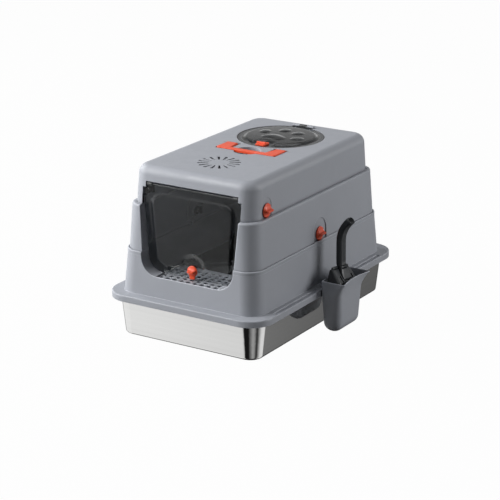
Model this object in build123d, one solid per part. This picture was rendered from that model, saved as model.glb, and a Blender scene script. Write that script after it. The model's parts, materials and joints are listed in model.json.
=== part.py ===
from build123d import *
from math import cos, radians, sin
import os

# Litter box enclosure: a steel pan, three nested moulded tiers, a swing door, a skylight,
# a carry handle, side locks and a hung scoop. Millimetres, +Z up, the entry faces -Y.
# The origin is the centre of the pan's flat bottom.

# Steel pan
pan_width = 338.4
pan_length = 544.6
pan_height = 94.7
pan_flare = 10.5
pan_sheet = 0.8
pan_corner = 28.5
pan_bottom_round = 7.0
pan_rim_width = 8.5
pan_rim_lip = 3.2

# Moulded walls and the fit between the tiers
wall = 2.5
roof_thickness = 3.0
slip_gap = 0.4
face_gap = 0.3
seat_depth = 12.6
seat_overlap = 1.0

# Lower frame
flange_clearance = 6.4
flange_drop = 14.1
flange_corner = 54.5
shelf_width = 24.2
lower_height = 93.4
lower_lean = 6.7
lower_corner = 38.0
bead_height = 9.0
bead_swell = 1.0
bead_round = 1.4
drip_depth = 8.5
drip_gap = 1.4
groove_width = 7.0
groove_depth = 1.3
groove_inset = 6.0
groove_end_margin = 75.0

# Middle frame
middle_height = 100.1
middle_lean = 5.55
middle_corner = 36.5
shoulder_width = 7.3
shoulder_round = 4.0

# Top cover
cover_height = 81.7
cover_side_lean = 1.8
cover_end_lean = 8.5
cover_corner = 34.6
roof_round = 20.0

# Entry opening
front_pillar = 28.0
entry_head = 50.4
entry_lean = 7.5
sill_rise = 45.6
sill_corner = 40.0
jamb_depth = 31.5
tab_width = 8.0
tab_height = 12.0

# Step grate
grate_thickness = 2.5
grate_drop = 1.3
grate_half_width = 77.0
grate_depth = 96.0
grate_gap = 0.3
grate_ledge = 4.0
grate_rib = 5.0
hole_diameter = 10.0
hole_pitch_x = 17.0
hole_pitch_y = 14.0
hole_columns = 9
hole_rows = 6
hole_front_margin = 7.8

# Swing door
door_thickness = 2.5
door_wall_gap = 0.85
door_side_gap = 2.5
door_foot_gap = 2.2
door_axis_drop = 6.1
door_shoulder_drop = 10.5
door_barrel_radius = 4.4
door_barrel_length = 12.0
door_pin_radius = 2.0
door_pin_depth = 8.0
door_ear_depth = 8.5
door_ear_side = 1.4
field_margin = 15.0
field_top_margin = 13.0
field_foot_margin = 9.0
field_corner = 27.0
field_height = 1.6
arch_half_width = 27.0
arch_height = 28.0
running_clearance = 0.08

# Door latch
latch_rise = 16.5
latch_disc_radius = 12.0
latch_disc_thickness = 3.5
latch_cone_height = 3.0
latch_fin_height = 9.0
latch_fin_length = 20.0
latch_fin_thickness = 5.5
latch_tongue_length = 17.5
latch_tongue_width = 13.0
latch_shaft_radius = 3.0
latch_ring_radius = 6.5
latch_ring_thickness = 1.6

# Side locks
knob_radius = 15.0
knob_thickness = 3.0
knob_cone_height = 3.5
knob_fin_height = 9.0
knob_fin_length = 27.0
knob_fin_thickness = 6.5
knob_shaft_radius = 4.0
knob_hole_clearance = 0.09
lock_rim_clearance = 0.3
middle_rim_overlap = 1.1
upper_lock_from_front = 57.0
middle_lock_y = 4.0
niche_half_upper = 19.0
niche_half_middle = 27.0
niche_depth_upper = 1.3
niche_depth_middle = 3.6
lock_boss_radius = 12.0
lock_boss_height = 1.1
cam_thickness = 3.0
cam_hub_radius = 9.0
cam_arm_length = 20.0
cam_arm_width = 8.0
cam_toe_reach = 12.0
cam_toe_width = 5.0
cam_square = 5.0
cam_square_depth = 2.0
keeper_gap = 0.8
keeper_finger = 4.2
keeper_post = 5.6
screw_radius = 1.5
screw_length = 10.0
screw_head_radius = 3.2
screw_head_height = 2.0

# Skylight
skylight_rear_margin = 39.5
skylight_seat = 9.0
skylight_recess = 3.2
skylight_edge_gap = 0.4
lid_thickness = 2.6
lid_rim_width = 13.0
dome_height = 4.0
dome_bevel = 3.0
hinge_from_edge = 3.5
hinge_rise = 1.6
hinge_knuckle_radius = 3.5
hinge_half_width = 26.0
hinge_lid_half_width = 9.0
hinge_gap = 0.5
hinge_pin_radius = 1.5
scallop_radius = 25.0
scallop_from_edge = 15.5

# Skylight latch
slide_half_width = 11.0
slide_length = 24.0
slide_thickness = 3.0
slide_from_edge = 1.0
slide_tab_height = 4.4
slide_tab_thickness = 4.0
slide_tab_inset = 6.5
slide_stem_half_width = 6.0
slide_stem_length = 6.0
slide_tongue_half_width = 8.0
slide_tongue_thickness = 2.4
slide_travel = 6.0
slide_seat_gap = 1.5

# Raised paw motif on the skylight
paw_tilt = -12.0
paw_relief = 1.6
paw_centre_forward = 13.0
toe_length = 22.0
toe_width = 14.0
paw_margin = 21.0
toe_ring_radius = 49.0
toe_angles = (-77.0, -23.0, 23.0, 77.0)
pad_back = 14.0
pad_width = 46.0
pad_depth = 34.0

# Carry handle
handle_to_skylight = 5.0
handle_to_vent = 24.4
handle_half_width = 74.0
handle_leg_inner = 50.0
handle_bar_inner = 44.0
handle_reach = 47.0
handle_bar_width = 13.0
handle_thickness = 6.0
handle_proud = 1.8
handle_eye_radius = 4.0
handle_pin_radius = 2.5
handle_pin_length = 16.0
handle_boss_wall = 3.0
handle_side_gap = 2.0
handle_recess_depth = 7.0
handle_eye_gap = 8.0
dip_radius = 30.0
dip_from_bar = 4.0
dip_depth = 9.5

# Vent and filter
vent_from_front = 102.5
vent_inner_radius = 22.0
vent_outer_radius = 47.0
vent_slot_foot = 2.8
vent_slot_head = 6.6
vent_slots = 16
tray_half = 52.0
tray_height = 9.0
tray_wall = 2.0
tray_grid = 5
tray_bar = 4.0
rail_lip = 4.0
rail_gap = 0.4
pad_gap = 0.6
filter_pad_thickness = 6.0

# Scoop holder
holder_front = -51.5
holder_rear = 54.0
holder_depth = 45.0
holder_height = 92.0
holder_flare_height = 22.5
holder_flare_out = 13.5
holder_flare_rear = 9.0
holder_mouth_dent = 10.0
holder_taper = 3.0
holder_floor_rise = 4.0
holder_corner = 13.0
holder_back_corner = 4.0
holder_mouth_corner = 6.0
holder_foot_corner = 19.5
holder_wall = 2.0
holder_bottom_round = 18.0
holder_standoff = 1.1
holder_rest_height = 6.0
holder_rest_half = 6.0
hook_width = 62.0
hook_thickness = 2.5

# Scoop. It leans to the rear in its pocket.
scoop_foot_y = -10.0
scoop_lean = 8.0
scoop_foot_width = 48.0
scoop_shoulder_width = 86.0
scoop_top_width = 72.0
scoop_height = 122.0
scoop_hood_drop = 28.0
scoop_foot_depth = 12.0
scoop_shoulder_depth = 33.0
scoop_sheet = 2.2
scoop_standoff = 5.5
scoop_corner = 7.0
scoop_slot_width = 5.0
scoop_slot_pitch = 12.0
scoop_slots = 5
scoop_slot_low = 24.0
scoop_slot_high = 110.0
grip_width = 22.0
grip_thickness = 9.0
grip_straight = 68.0
grip_bend_radius = 44.0
grip_bend_angle = 60.0
grip_edge_round = 2.5


# Levels and half sizes that follow from the sizes above
frame_base_z = pan_height + wall
lower_rim_z = frame_base_z + lower_height
middle_rim_z = lower_rim_z + middle_height
roof_z = middle_rim_z + cover_height
lower_seat_z = lower_rim_z - seat_depth
middle_seat_z = middle_rim_z - seat_depth

pan_half = (pan_width / 2, pan_length / 2)
pan_top_half = tuple(half + pan_flare for half in pan_half)
rim_half = tuple(half + pan_rim_width for half in pan_top_half)
flange_half = tuple(half + flange_clearance + wall for half in rim_half)
lower_base_half = tuple(half - shelf_width for half in flange_half)
lower_rim_half = tuple(half - lower_lean for half in lower_base_half)
middle_base_half = tuple(half - wall - slip_gap for half in lower_rim_half)
middle_rim_half = tuple(half - middle_lean for half in middle_base_half)
cover_base_half = tuple(half - shoulder_width - slip_gap for half in middle_rim_half)
roof_half = (cover_base_half[0] - cover_side_lean, cover_base_half[1] - cover_end_lean)

entry_half = cover_base_half[0] - front_pillar
entry_top_z = middle_rim_z + entry_head
sill_z = frame_base_z + sill_rise
entry_foot_half = entry_half - entry_lean


def shared_out(base, lean, height, z, base_z):
    # A wall's half size at a level: it leans in evenly from its base to its rim.
    return base - lean * (z - base_z) / height


def cover_side_at(z):
    return shared_out(cover_base_half[0], cover_side_lean, cover_height, z, middle_rim_z)


def cover_end_at(z):
    return shared_out(cover_base_half[1], cover_end_lean, cover_height, z, middle_rim_z)


def middle_side_at(z):
    return shared_out(middle_base_half[0], middle_lean, middle_height, z, lower_rim_z)


def lower_end_at(z):
    return shared_out(lower_base_half[1], lower_lean, lower_height, z, frame_base_z)


# The door's plane, its pivot and the jambs that close round it
door_axis_z = entry_top_z - door_axis_drop
door_face_y = -(cover_end_at(door_axis_z) - wall - door_wall_gap)
door_axis_y = door_face_y + door_thickness / 2
door_back_y = door_face_y + door_thickness
jamb_back_y = -(lower_end_at(sill_z) - jamb_depth)
door_foot_z = sill_z + door_foot_gap
latch_z = door_foot_z + latch_rise
grate_top_z = sill_z - grate_drop
grate_front_y = -(lower_end_at(sill_z) - wall - grate_gap - face_gap)

# The vent, the handle and the skylight on the roof. The skylight takes the length that is left.
vent_y = -(roof_half[1] - vent_from_front)
vent_rear_y = vent_y + tray_half + rail_gap + wall
dip_y = vent_rear_y + handle_to_vent + wall + dip_radius
handle_bar_y = dip_y - dip_from_bar - handle_bar_width / 2
handle_axis_y = handle_bar_y + handle_reach
skylight_front_y = handle_axis_y + handle_to_skylight
skylight_rear_y = roof_half[1] - skylight_rear_margin
skylight_radius = (skylight_rear_y - skylight_front_y) / 2
skylight_y = (skylight_rear_y + skylight_front_y) / 2
dome_radius = skylight_radius - lid_rim_width
paw_scale = (dome_radius - dome_bevel - paw_margin) / (toe_ring_radius + toe_length / 2)
seat_z = roof_z - skylight_recess
hinge_y = skylight_rear_y + hinge_from_edge
hinge_z = roof_z + hinge_rise
handle_top_z = roof_z + handle_proud
handle_axis_z = handle_top_z - handle_eye_radius

# The locks' axes and seats
upper_lock_y = -(cover_base_half[1] - upper_lock_from_front)
upper_lock_z = middle_rim_z + knob_radius + lock_rim_clearance
middle_lock_z = lower_rim_z + knob_radius - middle_rim_overlap
upper_lock_x = cover_side_at(middle_rim_z) - niche_depth_upper
middle_lock_x = middle_side_at(lower_rim_z) - niche_depth_middle
lock_wall = wall + lock_boss_height


def plan(half, corner, z):
    # Rounded rectangle at a level.
    return Plane.XY.offset(z) * RectangleRounded(2 * half[0], 2 * half[1], corner)


def grown(half, amount):
    return tuple(value + amount for value in half)


def tier(low_half, high_half, low_z, high_z, low_corner, high_corner):
    # Solid with straight leaning sides between two rounded rectangles.
    sections = [plan(low_half, low_corner, low_z), plan(high_half, high_corner, high_z)]
    return loft(sections, ruled=True)


def slab(half, corner, low_z, high_z):
    return extrude(plan(half, corner, low_z), high_z - low_z)


def block(low, high):
    # Box between two corners.
    size = [b - a for a, b in zip(low, high)]
    centre = [(a + b) / 2 for a, b in zip(low, high)]
    return Pos(*centre) * Box(*size)


def along_y(profile, y_from, y_to):
    # Solid of a profile drawn in X and Z, from one Y to another.
    return extrude(Plane.XZ.offset(-y_from) * profile, y_from - y_to)


def along_x(profile, x_from, x_to):
    # Solid of a profile drawn in Y and Z, from one X to another.
    return extrude(Plane.YZ.offset(x_from) * profile, x_to - x_from)


def rod_x(radius, x_from, x_to, y, z):
    return Pos((x_from + x_to) / 2, y, z) * Rot(0, 90, 0) * Cylinder(radius, x_to - x_from)


def rod_y(radius, y_from, y_to, x, z):
    return Pos(x, (y_from + y_to) / 2, z) * Rot(90, 0, 0) * Cylinder(radius, y_to - y_from)


def rod_z(radius, z_from, z_to, x, y):
    return Pos(x, y, (z_from + z_to) / 2) * Cylinder(radius, z_to - z_from)


def both_sides(piece):
    return piece + mirror(piece, about=Plane.YZ)


def make_pan():
    # The pan flares to its rim, which turns out flat and then down.
    outer = tier(pan_half, pan_top_half, 0, pan_height, pan_corner, pan_corner + pan_flare)
    outer = fillet(outer.faces().sort_by(Axis.Z)[0].edges(), pan_bottom_round)
    inner_low = grown(pan_half, -pan_sheet)
    inner_high = grown(pan_top_half, -pan_sheet)
    inner_corner = pan_corner - pan_sheet
    inner = tier(inner_low, inner_high, 0, pan_height, inner_corner, inner_corner + pan_flare)
    inner = inner - block((-pan_width, -pan_length, -1), (pan_width, pan_length, pan_sheet))
    inner = fillet(inner.faces().sort_by(Axis.Z)[0].edges(), pan_bottom_round - pan_sheet)
    rim_corner = pan_corner + pan_flare + pan_rim_width
    rim = slab(rim_half, rim_corner, pan_height - pan_sheet, pan_height)
    lip_low_z = pan_height - pan_rim_lip
    lip = slab(rim_half, rim_corner, lip_low_z, pan_height)
    lip -= slab(grown(rim_half, -pan_sheet), rim_corner - pan_sheet, lip_low_z, pan_height)
    return outer + rim + lip - inner


def entry_profile(grow, top_z):
    # The opening's outline: upright jambs in the cover, leaning ones in the middle tier and
    # rounded corners at the sill. A positive growth widens it all round.
    foot = entry_foot_half + grow
    head = entry_half + grow
    low = sill_z - grow
    points = [
        (-foot, low),
        (foot, low),
        (foot, lower_rim_z),
        (head, middle_rim_z),
        (head, top_z),
        (-head, top_z),
        (-head, middle_rim_z),
        (-foot, lower_rim_z),
    ]
    outline = make_face(Polyline(*points, close=True))
    corners = outline.vertices().sort_by(Axis.Y)[0:2]
    return fillet(corners, sill_corner + grow)


def entry_cut():
    return along_y(entry_profile(0, entry_top_z), -2 * pan_length, jamb_back_y + 60)


def jamb(low_z, high_z, outside):
    # The return that lines the opening, from the wall's face back to the door.
    ring = along_y(entry_profile(wall, entry_top_z), -pan_length, jamb_back_y)
    ring -= entry_cut()
    size = 2 * pan_length
    ring &= block((-size, -size, low_z), (size, size, high_z))
    return ring & outside


def keeper(lock_x, lock_y, lock_z, seat_z_here):
    # Finger that a lock's toe turns under, on a post that stands on the tier's seat ledge.
    cam_x = lock_x - lock_wall - face_gap
    inner_x = cam_x - cam_thickness
    toe_top = lock_z - cam_arm_length + cam_toe_width
    finger_low = toe_top + keeper_gap
    finger_high = finger_low + keeper_finger
    post_rear = lock_y - cam_toe_reach - face_gap
    post_front = post_rear - keeper_post
    finger_rear = lock_y - cam_arm_width / 2 - keeper_gap
    post = block((inner_x, post_front, seat_z_here - wall), (cam_x, post_rear, finger_high))
    finger = block((inner_x, post_front, finger_low), (cam_x, finger_rear, finger_high))
    return post + finger


def ledge(outer_half, inner_half, corner, top_z, lock_x, lock_y):
    # Ring that carries the next tier's skirt, with a shelf under each keeper post.
    ring = slab(grown(outer_half, -wall / 2), corner, top_z - wall, top_z)
    ring -= slab(inner_half, corner - wall - seat_overlap, top_z - wall, top_z)
    shelf_x = lock_x - lock_wall - face_gap - cam_thickness
    post_rear = lock_y - cam_toe_reach - face_gap
    low = (shelf_x, post_rear - 2 * keeper_post, top_z - wall)
    high = (inner_half[0] + seat_overlap, post_rear + keeper_post, top_z)
    return ring + both_sides(block(low, high))


def niche_profile(lock_y, lock_z, half, low_z):
    # Arch-topped recess round a lock, drawn in Y and Z.
    centre_z = lock_z + knob_radius * 0.5
    arch = Pos(lock_y, centre_z) * Circle(half)
    low_part = Pos(lock_y, (low_z + centre_z) / 2) * Rectangle(2 * half, centre_z - low_z)
    return arch + low_part


def lock_seat(piece, lock_x, lock_y, lock_z, half, low_z, outside):
    # Sinks the niche into both side walls, backs it inside and bores the shaft hole.
    profile = niche_profile(lock_y, lock_z, half, low_z)
    backing_profile = niche_profile(lock_y, lock_z, half + wall, low_z)
    backing = along_x(backing_profile, lock_x - wall, lock_x + 2 * wall) & outside
    boss = rod_x(lock_boss_radius, lock_x - lock_wall, lock_x, lock_y, lock_z)
    niche = along_x(profile, lock_x, lock_x + 30)
    bore_radius = knob_shaft_radius + knob_hole_clearance
    bore = rod_x(bore_radius, lock_x - 30, lock_x + 30, lock_y, lock_z)
    piece += both_sides(backing + boss)
    return piece - both_sides(niche + bore)


def make_lower_frame():
    flange = slab(flange_half, flange_corner, frame_base_z - flange_drop, frame_base_z)
    flange = fillet(flange.faces().sort_by(Axis.Z)[-1].edges(), wall * 0.8)
    channel_half = grown(flange_half, -wall)
    channel_low = frame_base_z - flange_drop
    channel = slab(channel_half, flange_corner - wall, channel_low, pan_height)
    outer = tier(lower_base_half, lower_rim_half, frame_base_z - wall, lower_rim_z, lower_corner,
                 lower_corner)
    inner = tier(grown(lower_base_half, -wall), grown(lower_rim_half, -wall), frame_base_z - 2 * wall,
                 lower_rim_z + wall, lower_corner - wall, lower_corner - wall)
    bead_half = grown(lower_rim_half, bead_swell)
    bead = slab(bead_half, lower_corner + bead_swell, lower_rim_z - bead_height, lower_rim_z)
    bead = fillet(bead.edges().group_by(Axis.Z)[0] + bead.edges().group_by(Axis.Z)[-1], bead_round)
    drip_half = grown(pan_top_half, -pan_sheet - drip_gap - pan_flare * drip_depth / pan_height)
    drip_corner = pan_corner + pan_flare
    drip = slab(drip_half, drip_corner, pan_height - drip_depth, pan_height)
    drip -= slab(grown(drip_half, -wall), drip_corner - wall, pan_height - drip_depth, pan_height)
    body = flange - channel + drip + outer + bead - inner
    seat_inner = grown(middle_base_half, -wall - seat_overlap)
    lower_half_here = grown(lower_rim_half, lower_lean * seat_depth / lower_height)
    ring = ledge(lower_half_here, seat_inner, lower_corner, lower_seat_z, middle_lock_x, middle_lock_y)
    body += ring
    body += both_sides(keeper(middle_lock_x, middle_lock_y, middle_lock_z, lower_seat_z))
    body -= entry_cut()
    body += jamb(sill_z - wall, lower_rim_z, outer)
    return finish_step_seat(body, outer)


def finish_step_seat(body, outside):
    # Ledges and pocket for the step grate, and the hook grooves along the flange.
    ledge_half = grate_half_width + grate_gap + wall
    ledge_top = grate_top_z - grate_thickness
    ledge_low = ledge_top - wall
    side_low = (grate_half_width - grate_ledge, grate_front_y - wall, ledge_low)
    side_high = (ledge_half, jamb_back_y, sill_z - wall)
    body += both_sides(block(side_low, side_high) & outside)
    front_low = (-ledge_half, grate_front_y - wall, ledge_low)
    front_high = (ledge_half, grate_front_y + grate_ledge, ledge_top)
    body += block(front_low, front_high) & outside
    pocket_half = grate_half_width + grate_gap
    pocket_low = (-pocket_half, grate_front_y - grate_gap, ledge_top)
    pocket_high = (pocket_half, jamb_back_y + 1, sill_z)
    body -= block(pocket_low, pocket_high)
    groove_out = flange_half[0] - groove_inset
    groove_end = flange_half[1] - groove_end_margin
    groove_low = (groove_out - groove_width, -groove_end, frame_base_z - groove_depth)
    groove_high = (groove_out, groove_end, frame_base_z + 1)
    return body - both_sides(block(groove_low, groove_high))


def make_grate():
    low = (-grate_half_width, grate_front_y, grate_top_z - grate_thickness)
    high = (grate_half_width, grate_front_y + grate_depth, grate_top_z)
    plate = block(low, high)
    rib_z = grate_top_z - grate_thickness - grate_rib
    rib_front = jamb_back_y + grate_ledge
    rib_side = block((grate_half_width - wall, rib_front, rib_z), high)
    rear_lip = block((-grate_half_width, high[1] - wall, rib_z), high)
    plate += both_sides(rib_side) + rear_lip
    first_x = -hole_pitch_x * (hole_columns - 1) / 2
    first_y = grate_front_y + hole_front_margin
    for column in range(hole_columns):
        for row in range(hole_rows):
            x = first_x + column * hole_pitch_x
            y = first_y + row * hole_pitch_y
            plate -= rod_z(hole_diameter / 2, low[2] - 1, high[2] + 1, x, y)
    return plate


def make_middle_frame():
    low_z = lower_seat_z
    skirt = slab(middle_base_half, middle_corner, low_z, lower_rim_z)
    outer_top = tier(middle_base_half, middle_rim_half, lower_rim_z, middle_rim_z, middle_corner,
                     middle_corner)
    outer_top = fillet(outer_top.faces().sort_by(Axis.Z)[-1].edges(), shoulder_round)
    inner_corner = middle_corner - wall
    inner_skirt = slab(grown(middle_base_half, -wall), inner_corner, low_z, lower_rim_z)
    inner_top = tier(grown(middle_base_half, -wall), grown(middle_rim_half, -wall), lower_rim_z,
                     middle_rim_z - wall, inner_corner, inner_corner)
    mouth = slab(grown(cover_base_half, slip_gap), cover_corner + slip_gap, middle_rim_z - 2 * wall,
                 middle_rim_z + wall)
    outer = skirt + outer_top
    body = outer - inner_skirt - inner_top - mouth
    seat_inner = grown(cover_base_half, -wall - seat_overlap)
    half_here = grown(middle_rim_half, middle_lean * seat_depth / middle_height)
    body += ledge(half_here, seat_inner, middle_corner, middle_seat_z, upper_lock_x, upper_lock_y)
    body += both_sides(keeper(upper_lock_x, upper_lock_y, upper_lock_z, middle_seat_z))
    body = lock_seat(body, middle_lock_x, middle_lock_y, middle_lock_z, niche_half_middle,
                     lower_rim_z - 2 * middle_rim_overlap, outer)
    body -= entry_cut()
    skirt_gap = wall + slip_gap
    notch_half = entry_foot_half + skirt_gap
    notch_low = (-notch_half, -pan_length, low_z - 1)
    body -= block(notch_low, (notch_half, jamb_back_y + 1, lower_rim_z + slip_gap))
    body += jamb(lower_rim_z + slip_gap, middle_rim_z, outer_top)
    return body


def make_cover():
    low_z = middle_seat_z
    skirt = slab(cover_base_half, cover_corner, low_z, middle_rim_z)
    outer_top = tier(cover_base_half, roof_half, middle_rim_z, roof_z, cover_corner, cover_corner)
    outer_top = fillet(outer_top.faces().sort_by(Axis.Z)[-1].edges(), roof_round)
    inner_corner = cover_corner - wall
    inner_skirt = slab(grown(cover_base_half, -wall), inner_corner, low_z, middle_rim_z)
    inner_top = tier(grown(cover_base_half, -wall), grown(roof_half, -wall), middle_rim_z,
                     roof_z - roof_thickness, inner_corner, inner_corner)
    inner_top = fillet(inner_top.faces().sort_by(Axis.Z)[-1].edges(), roof_round - wall)
    outer = skirt + outer_top
    body = outer - inner_skirt - inner_top
    body = lock_seat(body, upper_lock_x, upper_lock_y, upper_lock_z, niche_half_upper,
                     middle_rim_z, outer)
    body -= entry_cut()
    notch_half = entry_half + wall + slip_gap
    notch_low = (-notch_half, -pan_length, low_z - 1)
    body -= block(notch_low, (notch_half, jamb_back_y + 1, middle_rim_z + slip_gap))
    body += hinge_corners(outer)
    body = add_skylight_seat(body)
    body = add_handle_recess(body)
    return add_vent(body)


def hinge_corners(outside):
    # Tabs in the opening's top corners, and the ears behind them that carry the door's pins.
    inner_x = entry_half - tab_width
    low_z = entry_top_z - tab_height
    tab = block((inner_x, -pan_length, low_z), (entry_half + wall, door_face_y - door_wall_gap,
                                                entry_top_z + wall))
    ear_back = door_axis_y + door_ear_depth - door_thickness
    ear_low_z = door_axis_z - door_pin_radius * 3
    ear_high_z = door_axis_z + door_pin_radius * 3
    ear = block((inner_x, -pan_length, ear_low_z), (entry_half + door_ear_side, ear_back, ear_high_z))
    bore_radius = door_pin_radius + running_clearance
    bore = rod_x(bore_radius, inner_x - 1, inner_x + door_pin_depth - wall + 1, door_axis_y, door_axis_z)
    return both_sides((tab + ear & outside) - bore)


def add_skylight_seat(body):
    # Ring under the roof, the lid's recess, the light hole and the cover's half of the hinge.
    seat_low = seat_z - wall
    body += rod_z(skylight_radius + wall, seat_low, roof_z - roof_thickness / 2, 0, skylight_y)
    pocket_rear = hinge_y + hinge_knuckle_radius + 1
    pocket_half = hinge_half_width + hinge_gap
    pocket_front = skylight_y + skylight_radius * 0.9
    floor_low = (-pocket_half - wall, pocket_front, seat_low)
    floor_high = (pocket_half + wall, pocket_rear + wall, roof_z - roof_thickness / 2)
    body += block(floor_low, floor_high)
    body -= rod_z(skylight_radius, seat_z, roof_z + 10, 0, skylight_y)
    body -= rod_z(skylight_radius - skylight_seat, seat_low - 10, roof_z, 0, skylight_y)
    body -= block((-pocket_half, pocket_front, seat_z), (pocket_half, pocket_rear, roof_z + 10))
    inner_x = hinge_lid_half_width + hinge_gap
    web_front = hinge_y - hinge_knuckle_radius
    knuckle = rod_x(hinge_knuckle_radius, inner_x, hinge_half_width, hinge_y, hinge_z)
    web_low = (inner_x, hinge_y - 1, seat_z - wall / 2)
    web_high = (hinge_half_width, hinge_y + hinge_knuckle_radius, hinge_z)
    knuckle += block(web_low, web_high)
    knuckle -= rod_x(hinge_pin_radius, inner_x - 1, hinge_half_width + 1, hinge_y, hinge_z)
    return body + both_sides(knuckle)


def handle_pocket(grow, low_z, high_z):
    # The U-shaped recess of the handle with its finger dip, as a solid between two levels.
    side = handle_half_width + handle_side_gap + grow
    front = handle_bar_y - handle_side_gap - grow
    rear = handle_axis_y + handle_eye_gap + grow
    island_half = handle_bar_inner - handle_side_gap - grow
    island_front = handle_bar_y + handle_bar_width + handle_side_gap + grow
    pocket = block((-side, front, low_z), (side, rear, high_z))
    return pocket - block((-island_half, island_front, low_z), (island_half, rear, high_z))


def finger_dip(grow, low_z, high_z):
    return rod_z(dip_radius + grow, low_z, high_z, 0, dip_y)


def add_handle_recess(body):
    floor_z = roof_z - handle_recess_depth
    dip_z = roof_z - dip_depth
    top_z = roof_z - roof_thickness / 2
    body += handle_pocket(wall, floor_z - wall, top_z)
    body += finger_dip(wall, dip_z - wall, top_z)
    boss_half = handle_half_width + handle_side_gap
    boss_radius = handle_pin_radius + handle_boss_wall
    boss = rod_x(boss_radius, boss_half, boss_half + handle_pin_length / 2 + 1, handle_axis_y, handle_axis_z)
    boss &= block((0, -pan_length, 0), (pan_width, pan_length, top_z))
    body += both_sides(boss)
    body -= handle_pocket(0, floor_z, roof_z + 10)
    body -= finger_dip(0, dip_z, roof_z + 10)
    pin_in = handle_half_width + handle_side_gap - 1
    pin_out = handle_half_width + handle_side_gap + handle_pin_length / 2
    return body - both_sides(rod_x(handle_pin_radius, pin_in, pin_out, handle_axis_y, handle_axis_z))


def add_vent(body):
    # Radial slots that widen outwards, and two lipped rails under the roof for the filter tray.
    foot_x = vent_inner_radius + vent_slot_foot / 2
    head_x = vent_outer_radius - vent_slot_head / 2
    sides = [
        (foot_x, -vent_slot_foot / 2),
        (head_x, -vent_slot_head / 2),
        (head_x, vent_slot_head / 2),
        (foot_x, vent_slot_foot / 2),
    ]
    petal = make_face(Polyline(*sides, close=True))
    petal += Pos(foot_x, 0) * Circle(vent_slot_foot / 2)
    petal += Pos(head_x, 0) * Circle(vent_slot_head / 2)
    slot = extrude(Plane.XY.offset(roof_z - 2 * roof_thickness) * petal, 3 * roof_thickness)
    for index in range(vent_slots):
        body -= Pos(0, vent_y, 0) * Rot(0, 0, (index + 0.5) * 360 / vent_slots) * slot
    under_z = roof_z - roof_thickness
    rail_in = tray_half + rail_gap
    rail_low = under_z - tray_height - rail_gap - wall
    rail_half = tray_half * 0.9
    rail_out = rail_in + wall
    rail_high = under_z + roof_thickness / 2
    upright = block((-rail_half, vent_y + rail_in, rail_low), (rail_half, vent_y + rail_out, rail_high))
    lip_low = (-rail_half, vent_y + rail_in - rail_lip, rail_low)
    lip_high = (rail_half, vent_y + rail_in, under_z - tray_height - rail_gap)
    lip = block(lip_low, lip_high)
    rail = upright + lip
    rails = rail + Pos(0, 2 * vent_y, 0) * mirror(rail, about=Plane.XZ)
    return body + rails


def make_tray():
    # Shallow tray with a barred floor. The pad lies on the bars.
    high_z = roof_z - roof_thickness - rail_gap
    low_z = high_z - tray_height
    tray = block((-tray_half, vent_y - tray_half, low_z), (tray_half, vent_y + tray_half, high_z))
    inside = tray_half - tray_wall
    tray -= block((-inside, vent_y - inside, low_z + tray_wall), (inside, vent_y + inside, high_z + 1))
    window = (2 * inside - (tray_grid + 1) * tray_bar) / tray_grid
    for column in range(tray_grid):
        for row in range(tray_grid):
            x = -inside + tray_bar + window / 2 + column * (window + tray_bar)
            y = vent_y - inside + tray_bar + window / 2 + row * (window + tray_bar)
            tray -= Pos(x, y, low_z) * Box(window, window, 4 * tray_wall)
    return tray


def make_filter():
    half = tray_half - tray_wall - pad_gap
    low_z = roof_z - roof_thickness - rail_gap - tray_height + tray_wall
    high_z = low_z + filter_pad_thickness
    pad = block((-half, vent_y - half, low_z), (half, vent_y + half, high_z))
    return fillet(pad.edges().filter_by(Axis.Z), 3 * pad_gap)


def make_lid():
    # Smoked disc with a flat rim, a low dome, the paw motif and the hinge's middle knuckle.
    rim_top = seat_z + lid_thickness
    dome_top = rim_top + dome_height
    radius = skylight_radius - skylight_edge_gap
    lid = rod_z(radius, seat_z, rim_top, 0, skylight_y)
    dome = Pos(0, skylight_y, rim_top) * Cone(dome_radius, dome_radius - dome_bevel, dome_height,
                                              align=(Align.CENTER, Align.CENTER, Align.MIN))
    hollow = Pos(0, skylight_y, seat_z) * Cone(dome_radius - dome_bevel, dome_radius - 2 * dome_bevel,
                                               dome_height, align=(Align.CENTER, Align.CENTER, Align.MIN))
    scallop_y = skylight_front_y + scallop_from_edge
    dome -= rod_z(scallop_radius, rim_top, dome_top + 1, 0, scallop_y)
    hollow -= rod_z(scallop_radius + lid_thickness, seat_z, dome_top, 0, scallop_y)
    dome += make_paw(dome_top)
    lid = lid + dome - hollow
    arm_low = (-hinge_lid_half_width, skylight_y + skylight_radius * 0.95, seat_z + face_gap)
    arm_high = (hinge_lid_half_width, hinge_y, rim_top)
    lid += block(arm_low, arm_high)
    lid += rod_x(hinge_knuckle_radius, -hinge_lid_half_width, hinge_lid_half_width, hinge_y, hinge_z)
    bore_radius = hinge_pin_radius + running_clearance
    lid -= rod_x(bore_radius, -hinge_half_width, hinge_half_width, hinge_y, hinge_z)
    stem_room = slide_stem_half_width + slide_seat_gap / 2
    stem_front = slide_stem_y() - slide_travel - slide_seat_gap / 2
    stem_rear = slide_stem_y() + slide_stem_length + slide_seat_gap / 2
    return lid - block((-stem_room, stem_front, seat_z - 1), (stem_room, stem_rear, rim_top + 1))


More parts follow.
